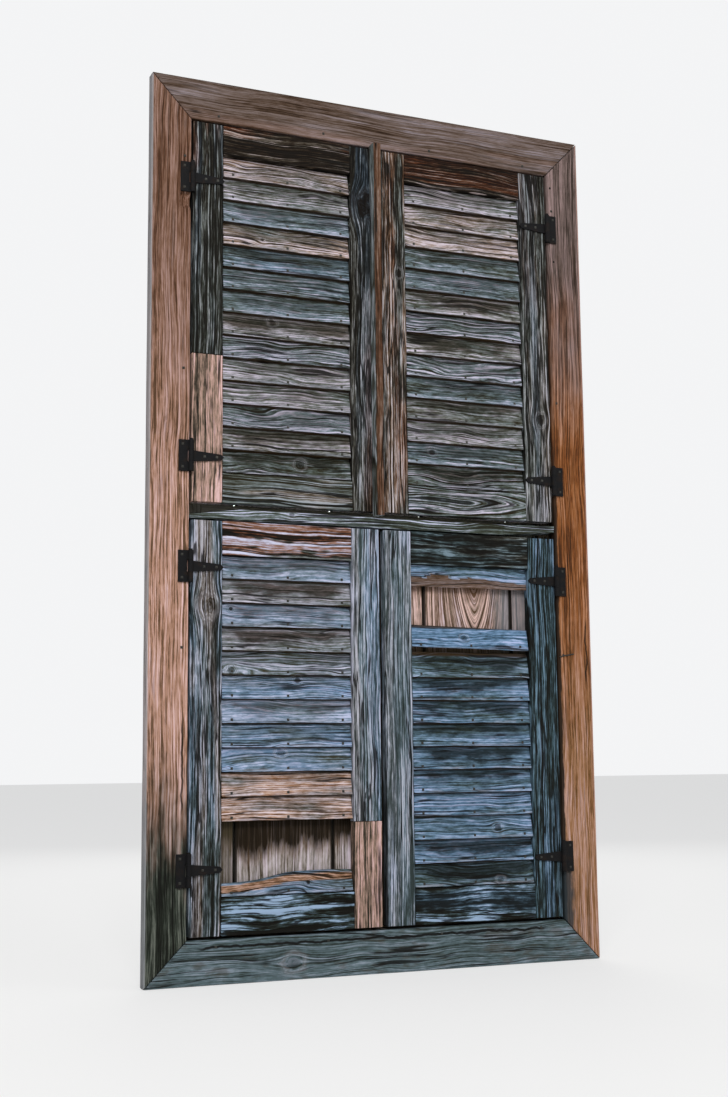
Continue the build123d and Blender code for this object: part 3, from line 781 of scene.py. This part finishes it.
def soften(piece):
    """Rounds the sharp edges of forged iron."""
    weld = piece.modifiers.new("Weld", "WELD")
    weld.merge_threshold = SAME_POINT
    bevel = piece.modifiers.new("Bevel", "BEVEL")
    bevel.width = FORGED_EDGE
    bevel.segments = 2
    bevel.limit_method = "ANGLE"
    bevel.angle_limit = SHARP_ANGLE


def reach(node):
    """A CAD node's lowest and highest corner."""
    low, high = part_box(node)
    return Vector(low), Vector(high)


class Casing(bpy.types.Operator):
    """Builds the four mitred boards of the casing"""

    bl_idname = "window.casing"
    bl_label = "Casing"

    def execute(self, context):
        settings = context.scene.window
        head_low, head_high = reach("casing_head")
        sill_low, sill_high = reach("casing_sill")
        left_low, left_high = reach("casing_left")
        right_low, _ = reach("casing_right")
        opening = (left_high.x, right_low.x, sill_high.z, head_low.z)
        outside = (left_low.x, head_high.x, sill_low.z, head_high.z)
        woods = {
            "casing_left": wood("casing_left_wood", Z_AXIS, (
                (0.10, "casing_left_low"), (0.52, "casing_left_middle"), (1.94, "casing_left_top")),
                CASING_TIMBER, extra=partial(left_crack_and_highlight, outside[0])),
            "casing_right": wood("casing_right_wood", Z_AXIS, (
                (0.2, "casing_right_low"), (0.95, "casing_right_middle"), (1.80, "casing_right_top")),
                CASING_TIMBER, extra=partial(right_marks_with_painted_light, opening[1], outside[1])),
            "casing_head": wood("casing_head_wood", X_AXIS, ((1.9, "casing_head"),), HEAD_TIMBER,
                                tints=(("casing_left_top", 0.35),), extra=weathered_head),
            "casing_sill": wood("casing_sill_wood", X_AXIS, ((0.0, "casing_sill"),), SILL_TIMBER,
                                knots=SILL_KNOTS, extra=weathered_sill),
        }
        for node in woods:
            low, high = reach(node)
            grain = Z_AXIS if node in ("casing_left", "casing_right") else X_AXIS
            bm = block(low, high, grain, settings, coarse=1.2)
            mitre(bm, node, opening, outside, settings.mitre_gap)
            weather(bm, grain, seed_of(node) * 10, settings, strength=0.7)
            if node == "casing_left":
                cut_chip(bm, opening)
            piece = Piece(node + "_board")
            piece.add(bm, seed_of(node), PLAIN_LOOK)
            piece.build([woods[node]], "frame", [node])
        return {"FINISHED"}


# A knot: place along the grain, place across it, radius and darkness
SILL_KNOTS = ((-0.217, -0.011, 0.016, 0.45),)
# Long cracks: place across the board, two ends, width and strength
SILL_CRACK = (0.031, -0.445, 0.420, 0.0050, 0.95)
HEAD_CRACK = (1.879, -0.475, -0.425, 0.0060, 0.9)
RIGHT_CRACK = (0.536, 0.590, 0.760, 0.0035, 0.9)
LEFT_CRACK = (-0.470, 0.300, 0.520, 0.0040, 0.8)
# Where nails have been, in the right board: x and z
OLD_NAIL_HOLES = ((0.471, 1.830), (0.476, 1.640))


def left_crack_and_highlight(edge, paint, field, marks, colour):
    """The left board has a painted pale grey highlight along its outer arris, and its low inner edge is
    cracked.
    """
    # Painted pale grey highlight along the outer arris
    worn = 1 - paint.band(field.from_left + field.cloud * 0.002, edge + 0.002, edge + 0.0045)
    colour = paint.blend(worn * 0.75, colour, LEFT_ARRIS_HIGHLIGHT)
    return long_crack(paint, colour, field.from_left, field.height, LEFT_CRACK)


def right_marks_with_painted_light(inner, outer, paint, field, marks, colour):
    """The right board has painted shade along its inner edge, is blue-grey at its foot and has a painted pale
    highlight at its arris.
    """
    # Painted shade along the inner edge beside the leaves, stronger below a metre
    margin = 1 - paint.band(field.from_left + field.blotch * 0.014, inner + 0.005, inner + 0.010)
    shade = (1 - paint.band(field.height, 1.0, 1.2)) * 0.5 + 0.45
    colour = paint.blend(margin * shade, colour, MARGIN_SHADE)
    foot = paint.band(field.from_left + field.blotch * 0.03, inner + 0.018, inner + 0.032)
    foot = (1 - foot) * (1 - paint.band(field.height + field.cloud * 0.2, 0.15, 0.24))
    colour = paint.blend(foot * 0.9, colour, BLUE_FOOT)
    # Painted pale highlight along the outer arris
    arris = paint.band(field.from_left + field.cloud * 0.003, outer - 0.0055, outer - 0.003)
    colour = paint.blend(arris * 0.5, colour, RIGHT_ARRIS_HIGHLIGHT)
    for x, z in OLD_NAIL_HOLES:
        across = field.from_left - x
        up = field.height - z
        hole = 1 - paint.band((across * across + up * up).root(), 0.0022, 0.0034)
        colour = paint.blend(hole, colour, BLACK_CRACK)
    return long_crack(paint, colour, field.from_left, field.height, RIGHT_CRACK)


def weathered_head(paint, field, marks, colour):
    """The head board has a short dark crack near its left mitre."""
    return long_crack(paint, colour, field.height, field.from_left, HEAD_CRACK)


def weathered_sill(paint, field, marks, colour):
    """The bottom board has one long crack below its top edge, and greenish brown patches."""
    patch = paint.band(field.blotch + field.cloud, 0.06, 0.22) * 0.45
    colour = paint.blend(patch, colour, SILL_PATCH)
    return long_crack(paint, colour, field.height, field.from_left, SILL_CRACK)


def mitre(bm, node, opening, outside, gap):
    """Slides a casing board's ends onto the mitre lines, with a small gap at each."""
    x0, x1, z0, z1 = opening
    out_x0, out_x1, out_z0, out_z1 = outside
    for vert in bm.verts:
        x, z = vert.co.x, vert.co.z
        if node in ("casing_left", "casing_right"):
            edge, out = (x0, out_x0) if node == "casing_left" else (x1, out_x1)
            share = (x - edge) / (out - edge)
            foot = z0 + share * (out_z0 - z0) + gap
            top = z1 + share * (out_z1 - z1) - gap
            vert.co.z = foot + (z - out_z0) / (out_z1 - out_z0) * (top - foot)
        else:
            edge, out = (z1, out_z1) if node == "casing_head" else (z0, out_z0)
            share = (z - edge) / (out - edge)
            left = x0 + share * (out_x0 - x0) + gap
            right = x1 + share * (out_x1 - x1) - gap
            vert.co.x = left + (x - out_x0) / (out_x1 - out_x0) * (right - left)


CHIP_W = 0.030
CHIP_H = 0.034
CHIP_DEPTH = 0.009


def cut_chip(bm, opening):
    """Sinks the chip in the left casing board, under the top hinge plate."""
    plates = [corners(points) for points in solids_of("hinge_plates")]
    top_left = [low for low, high in plates if high.x < 0][0]
    edge = opening[0]
    for vert in bm.verts:
        in_from_edge = (edge - vert.co.x) / CHIP_W
        down = (top_left.z - vert.co.z) / CHIP_H
        # It widens downwards for four fifths of its height, and then closes
        width = 0.75 + 0.25 * down if down < 0.8 else 1.0 - 2.6 * (down - 0.8)
        if -0.1 < down < 1.0 and in_from_edge < width:
            slope = CHIP_DEPTH * 1.6 * down + 0.003
            vert.co.y += max(0.0, min(CHIP_DEPTH, slope))


class Lining(bpy.types.Operator):
    """Builds the lining boards in the wall and the strips that the leaves close on"""

    bl_idname = "window.lining"
    bl_label = "Lining and stops"

    def execute(self, context):
        settings = context.scene.window
        upright = wood("lining_upright_wood", Z_AXIS, ((1.0, "bare_inside"),), CASING_TIMBER)
        level = wood("lining_level_wood", X_AXIS, ((1.0, "bare_inside"),), CASING_TIMBER)
        for node in ("lining_left", "lining_right", "stop_left", "stop_right"):
            plain_board(node, Z_AXIS, upright, "frame", settings)
        for node in ("lining_head", "lining_sill", "stop_head", "stop_sill"):
            plain_board(node, X_AXIS, level, "frame", settings)
        return {"FINISHED"}


class Sash(bpy.types.Operator):
    """Builds the glazed light behind the leaves"""

    bl_idname = "window.sash"
    bl_label = "Glazed light"

    def execute(self, context):
        settings = context.scene.window
        upright = wood("sash_upright_paint", Z_AXIS, ((1.0, "sash_paint"),), PAINTED_TIMBER)
        level = wood("sash_level_paint", X_AXIS, ((1.0, "sash_paint"),), PAINTED_TIMBER)
        for node in ("sash_left_stile", "sash_right_stile"):
            plain_board(node, Z_AXIS, upright, "frame", settings)
        for node in ("sash_head_rail", "sash_mid_rail", "sash_bottom_rail"):
            plain_board(node, X_AXIS, level, "frame", settings)
        for node, grain, material in (("sash_mullions", Z_AXIS, upright), ("glazing_bars", X_AXIS, level)):
            piece = Piece(node + "_board")
            for count, points in enumerate(solids_of(node)):
                bm = block(*corners(points), grain, settings, coarse=1.6)
                weather(bm, grain, count * 1.7, settings, strength=0.6)
                piece.add(bm, seed_of(node) + count * 0.137, PLAIN_LOOK)
            piece.build([material], "frame", [node])
        finish_node("glass_panes", old_glass(settings))
        return {"FINISHED"}


# Knots on the leaves' frames: place along the grain, place across it, radius and darkness
STILE_KNOTS = {
    "upper_left_meeting_stile": ((1.709, -0.036, 0.024, 1.0), (1.735, -0.028, 0.014, 1.0)),
    "upper_right_meeting_stile": ((1.560, 0.052, 0.008, 0.7),),
    "upper_right_hinge_stile": ((1.235, 0.426, 0.013, 0.75),),
    "lower_left_hinge_stile": ((0.757, -0.412, 0.018, 0.55),),
}


class LeafFrames(bpy.types.Operator):
    """Builds the stiles, rails and replaced lengths of the four leaves"""

    bl_idname = "window.leaf_frames"
    bl_label = "Leaf frames"

    def execute(self, context):
        settings = context.scene.window
        splice = wood("splice_wood", Z_AXIS, ((1.0, "splice"),), SPLICE_TIMBER)
        for leaf in LEAVES:
            body = leaf + "_leaf"
            for stile in STILES:
                node = leaf + "_" + stile
                tone, tints = STILE_FINISHES[node]
                joint = shaded_meeting if node in OPEN_JOINT else None
                material = wood(node + "_wood", Z_AXIS, stile_zones(leaf, stile), STILE_TIMBER, tints,
                                STILE_KNOTS.get(node, ()), extra=joint)
                look = PLAIN_LOOK._replace(tone=tone)
                plain_board(node, Z_AXIS, material, body, settings, look)
            edges = sorted(corner.x for stile in STILES for corner in reach(leaf + "_" + stile))
            for rail in ("top_rail", "bottom_rail"):
                node = leaf + "_" + rail
                finish = RAIL_FINISHES[node]
                material = wood(node + "_wood", X_AXIS, finish.zones, finish.timber, finish.tints,
                                arch=finish.arch)
                # The rail shows between the stiles, and its tenons are inside them
                low, high = reach(node)
                low.x, high.x = edges[1:3]
                look = PLAIN_LOOK._replace(tone=finish.tone)
                plain_board(node, X_AXIS, material, body, settings, look, (low, high))
        for leaf in ("upper_left", "lower_left"):
            plain_board(leaf + "_stile_splice", Z_AXIS, splice, leaf + "_leaf", settings)
        return {"FINISHED"}


OPEN_JOINT = ("lower_left_meeting_stile", "lower_right_meeting_stile")


def shaded_meeting(paint, field, marks, colour):
    """Dirt along the open joint between the two lower leaves, wider towards its foot."""
    off = (field.from_left + field.blotch * 0.002).maths("ABSOLUTE")
    spread = (1 - paint.band(field.height, 0.30, 0.92)) * 0.0035 + 0.0025
    dirt = 1 - paint.band(off - spread, 0.0, 0.002)
    return paint.blend(dirt * 0.9, colour, BLACK_CRACK)


def stile_zones(leaf, stile):
    """The palettes of a stile, from its foot to its top."""
    if leaf.startswith("upper"):
        name = "stile_upper" if stile == "hinge_stile" else "meeting_upper"
        return ((1.25, name), (1.85, "stile_top"))
    if stile == "meeting_stile":
        return ((0.5, "meeting_lower"),)
    return ((0.5, "stile_lower_right" if leaf == "lower_right" else "stile_lower"),)


# How light each stile is, and the palettes that streak it
STILE_FINISHES = {
    "upper_left_hinge_stile": (0.05, (("rust", 0.8), ("slats_blue", 0.1))),
    "upper_left_meeting_stile": (0.22, (("rust", 0.5), ("slats_blue", 0.15))),
    "upper_right_hinge_stile": (0.34, (("slats_warm", 0.2), ("slats_blue", 0.15))),
    "upper_right_meeting_stile": (0.40, (("rust", 0.8), ("slats_warm", 0.35))),
    "lower_left_hinge_stile": (0.45, (("slats_blue", 0.3), ("slats_warm", 0.25))),
    "lower_left_meeting_stile": (0.60, (("slats_blue", 0.4), ("slats_warm", 0.2))),
    "lower_right_hinge_stile": (0.32, (("slats_blue", 0.4),)),
    "lower_right_meeting_stile": (0.45, (("slats_blue", 0.4), ("slats_warm", 0.12))),
}


class RailFinish(NamedTuple):
    """A rail's zones, how light it is, the palettes that streak it, its arches and its timber."""

    zones: tuple
    tone: float
    tints: tuple = ()
    arch: tuple | None = None
    timber: Timber = RAIL_TIMBER


RAIL_FINISHES = {
    "upper_left_top_rail": RailFinish(((1.82, "rail_top"),), 0.16, (("rust", 1.6),)),
    "upper_left_bottom_rail": RailFinish(((1.0, "rail_mid"),), 0.35, (("slats_warm", 0.25),)),
    "upper_right_top_rail": RailFinish(((1.82, "rail_top"),), 0.05, (("rust", 0.9),)),
    "upper_right_bottom_rail": RailFinish(((1.0, "slats_upper"),), 0.35, (("rust", 0.5), ("slats_blue", 0.3)),
                                          (1.018, 0.230, 0.024, 0.12)),
    "lower_left_top_rail": RailFinish(((0.862, "stile_top"), (0.900, "lilac")), 0.40, timber=BANDED_TIMBER),
    "lower_left_bottom_rail": RailFinish(((0.1, "rail_lower"),), 0.34, timber=CLOUDED_TIMBER),
    "lower_right_top_rail": RailFinish(((0.9, "stile_top"),), 0.25, (("stile_lower_right", 0.6),),
                                       timber=CLOUDED_TIMBER),
    "lower_right_bottom_rail": RailFinish(((0.1, "rail_lower"),), 0.36, (("slats_blue", 0.3),),
                                          timber=CLOUDED_TIMBER),
}


# Where the planks that show in the gaps are stained: heights between which it sets in, and colour
PLANK_STAINS = {
    "lower_left": (0.228, 0.244, srgb((26, 18, 7))),
    "lower_right": (0.812, 0.836, srgb((84, 54, 30))),
}
# Where the lower left leaf's first plank ends, and where the lower right leaf's planks turn grey
LEFT_PLANK_EDGE = -0.345
RIGHT_GREY_EDGE = 0.300
# The heights between which the lower right leaf's planks turn dark with painted shade, below the gap
GAP_SHADE_HEIGHTS = (0.670, 0.700)
# The arches in the lower right leaf's middle plank
PLANK_ARCH = (0.248, 0.700, 0.060, -0.45)


def shaded_joints(paint, marks, colour):
    """Dirt in the open joints between the planks."""
    joint = 1 - paint.band(marks.inward, 0.012, 0.028)
    return paint.blend(joint * 0.95, colour, JOINT_DIRT)


def stained_and_shaded_planks(leaf, paint, field, marks, colour):
    """Stains that have run down the planks from above, in ragged drips, and painted shade on the lower right
    leaf's planks below the gap.
    """
    if leaf not in PLANK_STAINS:
        return colour
    low, high, tone = PLANK_STAINS[leaf]
    column = paint.vector(field.from_left, 0.0, field.height * 0.15)
    drip = paint.noise(column, 9.0, 5.0, 0.6) - 0.5
    edge = field.height + drip * 0.16 + field.fibre * 0.015 + field.blotch * 0.05
    fringe = paint.band(edge, low - 0.030, low + 0.005)
    colour = paint.blend((fringe * 0.5).clip(), colour, DRIP_FRINGE)
    wet = paint.band(edge, low - 0.012, high + 0.012)
    colour = paint.blend((wet * (field.fibre * 1.2 + 1.0)).clip(), colour, tone)
    if leaf == "lower_left":
        aside = 1 - paint.band(field.from_left, LEFT_PLANK_EDGE, LEFT_PLANK_EDGE + 0.004)
        colour = paint.blend(aside * 0.65, colour, BROWN_EDGE)
    else:
        grey = field.from_left + field.blotch * 0.06
        aside = paint.band(grey, RIGHT_GREY_EDGE - 0.02, RIGHT_GREY_EDGE + 0.03)
        colour = paint.blend(aside * 0.7, colour, GREY_PLANK)
        # Painted shade below the gap, where the slats shadow the planks
        below = 1 - paint.band(field.height, *GAP_SHADE_HEIGHTS)
        colour = paint.blend(below * 0.9, colour, PAINTED_GAP_SHADE)
    return colour


class Planks(bpy.types.Operator):
    """Builds the upright planks behind the slats"""

    bl_idname = "window.planks"
    bl_label = "Back planks"

    def execute(self, context):
        settings = context.scene.window
        for leaf in LEAVES:
            node = leaf + "_planks"
            palette = "planks_right" if leaf == "lower_right" else "planks_left"
            arch = PLANK_ARCH if leaf == "lower_right" else None
            timber = ARCHED_PLANK_TIMBER if arch else PLANK_TIMBER
            tints = (("lilac", 0.4),) if leaf == "lower_right" else ()
            material = wood(node + "_wood", Z_AXIS, ((1.0, palette),), timber, tints, arch=arch,
                            extra=partial(stained_and_shaded_planks, leaf), behind="planks_back")
            piece = Piece(node + "_boards")
            for count, points in enumerate(solids_of(node)):
                low, high = corners(points)
                bm = block(low, high, Z_AXIS, settings, coarse=1.5)
                weather(bm, Z_AXIS, seed_of(node) * 10 + count, settings, strength=0.6)
                inward = [0.5 - abs((vert.co.x - low.x) / (high.x - low.x) - 0.5) for vert in bm.verts]
                piece.add(bm, seed_of(node) + count * 0.31, PLAIN_LOOK, inward=inward)
            piece.build([material], leaf + "_leaf", [node])
        return {"FINISHED"}


# Knots on the slats: place along the grain, place across it, radius and darkness
SLAT_KNOTS = {
    "upper_left": ((-0.263, 1.409, 0.009, 0.8), (-0.196, 1.083, 0.010, 0.7), (-0.287, 1.600, 0.006, 0.9)),
    "upper_right": ((0.136, 1.136, 0.008, 0.9),),
    "lower_left": ((-0.359, 0.751, 0.006, 1.0), (-0.361, 0.617, 0.009, 0.7), (-0.203, 0.597, 0.008, 0.9),
                   (-0.243, 0.439, 0.009, 0.5), (-0.181, 0.158, 0.006, 1.0)),
    "lower_right": ((0.211, 0.699, 0.007, 0.6), (0.293, 0.143, 0.009, 0.6), (0.290, 0.262, 0.008, 0.8)),
}


class Slats(bpy.types.Operator):
    """Builds the lapped slats of the four leaves, whole, broken and slipped"""

    bl_idname = "window.slats"
    bl_label = "Slats"

    def execute(self, context):
        settings = context.scene.window
        for leaf in LEAVES:
            node = leaf + "_slats"
            palette = "slats_upper" if leaf.startswith("upper") else "slats_" + leaf
            material = wood(node + "_wood", X_AXIS, ((1.0, palette),), SLAT_TIMBER,
                            knots=SLAT_KNOTS[leaf], stain=STAINS[leaf])
            looks = [look for look in SLAT_LOOKS[leaf] if look != "."]
            solids = solids_of(node)
            section = SlatSection(solids[len(solids) // 2])
            piece = Piece(node + "_boards")
            for count, (points, look) in enumerate(zip(solids, looks)):
                seed = seed_of(leaf) + count * 0.173
                slat = SlatBoard(points, look, section, seed, settings)
                piece.add(slat.bm, seed, LOOKS[look], slat.heights, slat.bared, slat.inward)
            piece.build([material], leaf + "_leaf", [node])
        return {"FINISHED"}


# How near to a slat's top or foot a point counts as on it
END_REACH = 0.002


class SlatSection:
    """A slat's lean and its depth along Y, read from one whole slat of the CAD model."""

    def __init__(self, points):
        low, high = corners(points)
        foot = [p.y for p in points if p.z < low.z + END_REACH]
        top = [p.y for p in points if p.z > high.z - END_REACH]
        self.slope = (min(top) - min(foot)) / (high.z - low.z)
        self.depth = max(foot) - min(foot)
        self.height = high.z - low.z


# How deep the front of the torn slat has split off
SPLIT_DEPTH = 0.005
# How far the foot of a slat waves
FOOT_WAVE = 0.0010
# The unit in which the bare wood under the broken slat's crest is measured
CREST_STEP = 0.006


class SlatBoard:
    """One slat between the outlines of its CAD solid, leaning back, with its marks."""

    def __init__(self, points, look, section, seed, settings):
        low, high = corners(points)
        if look == "t":
            top_front = min(p.y for p in points if p.z > high.z - END_REACH)
            low.y = top_front - section.slope * (high.z - low.z)
            lower, upper = (lambda x: low.z), (lambda x: high.z)
            torn = tear_line(points, section, low, high)
        else:
            lower, upper = outline(points)
            torn = lower
        self.bm = block(low, Vector((high.x, low.y + section.depth, high.z)), X_AXIS, settings)
        self.heights = []
        self.bared = []
        self.inward = []
        spans = {}
        for vert in self.bm.verts:
            x = vert.co.x
            key = round(x, 4)
            if key not in spans:
                spans[key] = (lower(x), upper(x), torn(x))
            foot, top, tear = spans[key]
            share = (vert.co.z - low.z) / (high.z - low.z)
            wave = FOOT_WAVE * noise.noise(Vector((x * 14, seed * 50, 0))) * (1 - share)
            vert.co.z = foot + share * (top - foot) + wave
            self.heights.append((vert.co.z - low.z) / section.height)
            self.inward.append(0.5 - abs((x - low.x) / (high.x - low.x) - 0.5))
            self.bared.append(0.0)
            if look == "t" and vert.co.z < tear:
                vert.co.y = max(vert.co.y, low.y + SPLIT_DEPTH)
                self.bared[-1] = 0.22
                # The split part takes the lap's height, so it gets the painted lap shade of the recess under
                # the skin
                self.heights[-1] = 0.9
            if look == "x":
                under_crest = (top - vert.co.z) / CREST_STEP
                self.bared[-1] = 0.9 if 0.8 < under_crest < 3.4 else 0.0
                self.heights[-1] = min(self.heights[-1], 0.5)
            vert.co.y += section.slope * (vert.co.z - low.z)
        weather(self.bm, X_AXIS, seed * 10, settings)


def tear_line(points, section, low, high):
    """The lower edge of the front skin on the split slat, as a function of x."""
    edge = {}
    for p in points:
        front = low.y + section.slope * (p.z - low.z)
        if low.z + END_REACH < p.z < high.z - END_REACH and abs(p.y - front) < 0.0008:
            edge[p.x] = max(p.z, edge.get(p.x, low.z))
    if len(edge) < 4:
        raise RuntimeError("the torn slat has no tear line")
    return lambda x: between(edge, x)


BAR_KNOTS = ((-0.218, 0.968, 0.006, 0.7),)


class BarAndStrip(bpy.types.Operator):
    """Builds the transom bar and the cover strip"""

    bl_idname = "window.bar_and_strip"
    bl_label = "Transom bar and cover strip"

    def execute(self, context):
        settings = context.scene.window
        points = solids_of("transom_bar")[0]
        low, high = corners(points)
        lower, upper = outline(points)
        bm = block(low, high, X_AXIS, settings)
        for vert in bm.verts:
            share = (vert.co.z - low.z) / (high.z - low.z)
            foot = lower(vert.co.x)
            vert.co.z = foot + share * (upper(vert.co.x) - foot)
        weather(bm, X_AXIS, 4.2, settings)
        piece = Piece("transom_bar_board")
        piece.add(bm, 0.4, PLAIN_LOOK._replace(tone=0.40))
        bar_wood = wood("transom_wood", X_AXIS, ((1.0, "transom"),), RAIL_TIMBER, knots=BAR_KNOTS)
        piece.build([bar_wood], "frame", ["transom_bar"])
        self.make_strip(settings)
        return {"FINISHED"}

    def make_strip(self, settings):
        """The strip's front has kept its stain, and its sides have gone grey."""
        low, high = reach("cover_strip")
        bm = block(low, high, Z_AXIS, settings)
        weather(bm, Z_AXIS, 2.9, settings)
        piece = Piece("cover_strip_board")
        piece.add(bm, 0.7, PLAIN_LOOK)
        front = wood("strip_front_wood", Z_AXIS, ((1.0, "strip_front"),), SPLICE_TIMBER)
        side = wood("strip_side_wood", Z_AXIS, ((1.0, "strip_side"),), STILE_TIMBER)
        strip = piece.build([front, side], "upper_left_leaf", ["cover_strip"])
        for face in strip.data.polygons:
            face.material_index = 0 if face.normal.y < -0.7 else 1


class Ironwork(bpy.types.Operator):
    """Finishes the hinges and nails"""

    bl_idname = "window.ironwork"
    bl_label = "Hinges and nails"

    def execute(self, context):
        settings = context.scene.window
        black = iron("black_iron", settings, 0.0)
        grey = iron("grey_nails", settings, 0.45)
        dusty = iron("dusty_nails", settings, 0.3)
        finish_node("casing_nails", dusty)
        hinges = ["hinge_plates", "hinge_pins"] + [leaf + "_hinge_straps" for leaf in LEAVES]
        for node in hinges:
            finish_node(node, black)
            soften(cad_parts[node])
        for leaf in LEAVES:
            finish_node(leaf + "_nails", grey if leaf.startswith("upper") else dusty)
        return {"FINISHED"}


# The camera that the photograph was taken with, worked out from the casing's corners
CAMERA_PLACE = Vector((-1.400, -3.1765, 0.4214))
CAMERA_YAW = math.radians(23.301)
CAMERA_PITCH = math.radians(7.912)
CAMERA_ROLL = math.radians(0.555)
CAMERA_LENS = 49.8


def camera_turn():
    """The camera's axes as a rotation: right, up and back."""
    forward = Vector((math.sin(CAMERA_YAW) * math.cos(CAMERA_PITCH),
                      math.cos(CAMERA_YAW) * math.cos(CAMERA_PITCH), math.sin(CAMERA_PITCH)))
    level = Vector((math.cos(CAMERA_YAW), -math.sin(CAMERA_YAW), 0.0))
    down = forward.cross(level)
    right = level * math.cos(CAMERA_ROLL) + down * math.sin(CAMERA_ROLL)
    up = level * math.sin(CAMERA_ROLL) - down * math.cos(CAMERA_ROLL)
    return Matrix((right, up, -forward)).transposed().to_4x4()


class Stage(bpy.types.Operator):
    """Sets the camera, the lamps, the world and the floor"""

    bl_idname = "window.stage"
    bl_label = "Stage"

    def execute(self, context):
        scene = context.scene
        scene.view_settings.view_transform = "Standard"
        camera = bpy.data.objects.new("camera", bpy.data.cameras.new("camera"))
        camera.data.lens = CAMERA_LENS
        camera.data.clip_end = 100.0
        camera.matrix_world = Matrix.Translation(CAMERA_PLACE) @ camera_turn()
        scene.collection.objects.link(camera)
        scene.camera = camera
        middle = Vector((0.0, 0.0, 0.95))
        add_lamp("key_lamp", Vector((-2.4, -5.4, 4.4)), middle, 2.2, 350.0)
        add_lamp("fill_lamp", Vector((3.2, -3.4, 1.5)), middle, 2.4, 36.0)
        add_lamp("back_lamp", Vector((1.5, 3.8, 2.8)), middle, 2.5, 60.0)
        set_world(scene)
        add_floor(scene.window)
        return {"FINISHED"}


def add_lamp(name, place, target, size, power):
    lamp = bpy.data.lights.new(name, "AREA")
    lamp.size = size
    lamp.energy = power
    holder = bpy.data.objects.new(name, lamp)
    holder.location = place
    holder.rotation_euler = (target - place).to_track_quat("-Z", "Y").to_euler()
    bpy.context.scene.collection.objects.link(holder)


# The backdrop's colour, its light on the object, and what is added where it is seen
BACKDROP = (0.93, 0.935, 0.945, 1.0)
WORLD_LIGHT = 0.47
WORLD_SEEN = 0.50
FLOOR_GLOW = (0.90, 0.905, 0.915, 1.0)


def set_world(scene):
    """A pale background to the camera and to reflections, and a softer light on the object."""
    world = bpy.data.worlds.new("studio")
    scene.world = world
    world.use_nodes = True
    tree = world.node_tree
    ground = tree.nodes["Background"]
    rays = tree.nodes.new("ShaderNodeLightPath")
    seen = Num(tree, rays.outputs["Is Camera Ray"]) + Num(tree, rays.outputs["Is Glossy Ray"])
    seen = (seen + Num(tree, rays.outputs["Is Transmission Ray"])).clip()
    ground.inputs["Color"].default_value = BACKDROP
    plug(tree, ground.inputs["Strength"], seen * WORLD_SEEN + WORLD_LIGHT)


def add_floor(settings):
    """A wide pale floor under the casing."""
    bm = bmesh.new()
    bmesh.ops.create_grid(bm, x_segments=2, y_segments=2, size=30.0)
    bmesh.ops.translate(bm, vec=(0, 0, CAD_BOX[0][2] - 0.0005), verts=bm.verts)
    mesh = bpy.data.meshes.new("floor")
    bm.to_mesh(mesh)
    bm.free()
    paint = Paint("floor_pale")
    rays = paint.node("LightPath", {}, {})
    glow = paint.node("Emission", {}, {"Color": FLOOR_GLOW, "Strength": 1.0})
    paint.finish({"Base Color": tuple(settings.floor_colour), "Roughness": 0.9})
    seen = paint.num(rays.outputs["Is Camera Ray"]) * 0.6
    mix = paint.node("MixShader", {}, {0: seen, 1: paint.shader.outputs[0], 2: glow.outputs[0]})
    paint.tree.links.new(mix.outputs[0], paint.tree.nodes["Material Output"].inputs["Surface"])
    mesh.materials.append(paint.material)
    floor = bpy.data.objects.new("floor", mesh)
    bpy.context.scene.collection.objects.link(floor)


OPERATORS = (Stage, Casing, Lining, Sash, LeafFrames, Planks, Slats, BarAndStrip, Ironwork)


class WindowPanel(bpy.types.Panel):
    """Lists the window's steps"""

    bl_idname = "VIEW3D_PT_window"
    bl_label = "Window with shutters"
    bl_space_type = "VIEW_3D"
    bl_region_type = "UI"
    bl_category = "Window"

    def draw(self, context):
        settings = context.scene.window
        for name in WindowSettings.__annotations__:
            self.layout.prop(settings, name)
        for step in OPERATORS:
            self.layout.operator(step.bl_idname)


def register():
    for cls in (WindowSettings, *OPERATORS, WindowPanel):
        bpy.utils.register_class(cls)
    bpy.types.Scene.window = bpy.props.PointerProperty(type=WindowSettings)


def unregister():
    del bpy.types.Scene.window
    for cls in reversed((WindowSettings, *OPERATORS, WindowPanel)):
        bpy.utils.unregister_class(cls)


def main():
    register()
    for step in OPERATORS:
        group, name = step.bl_idname.split(".")
        getattr(getattr(bpy.ops, group), name)()


if __name__ == "__main__":
    main()
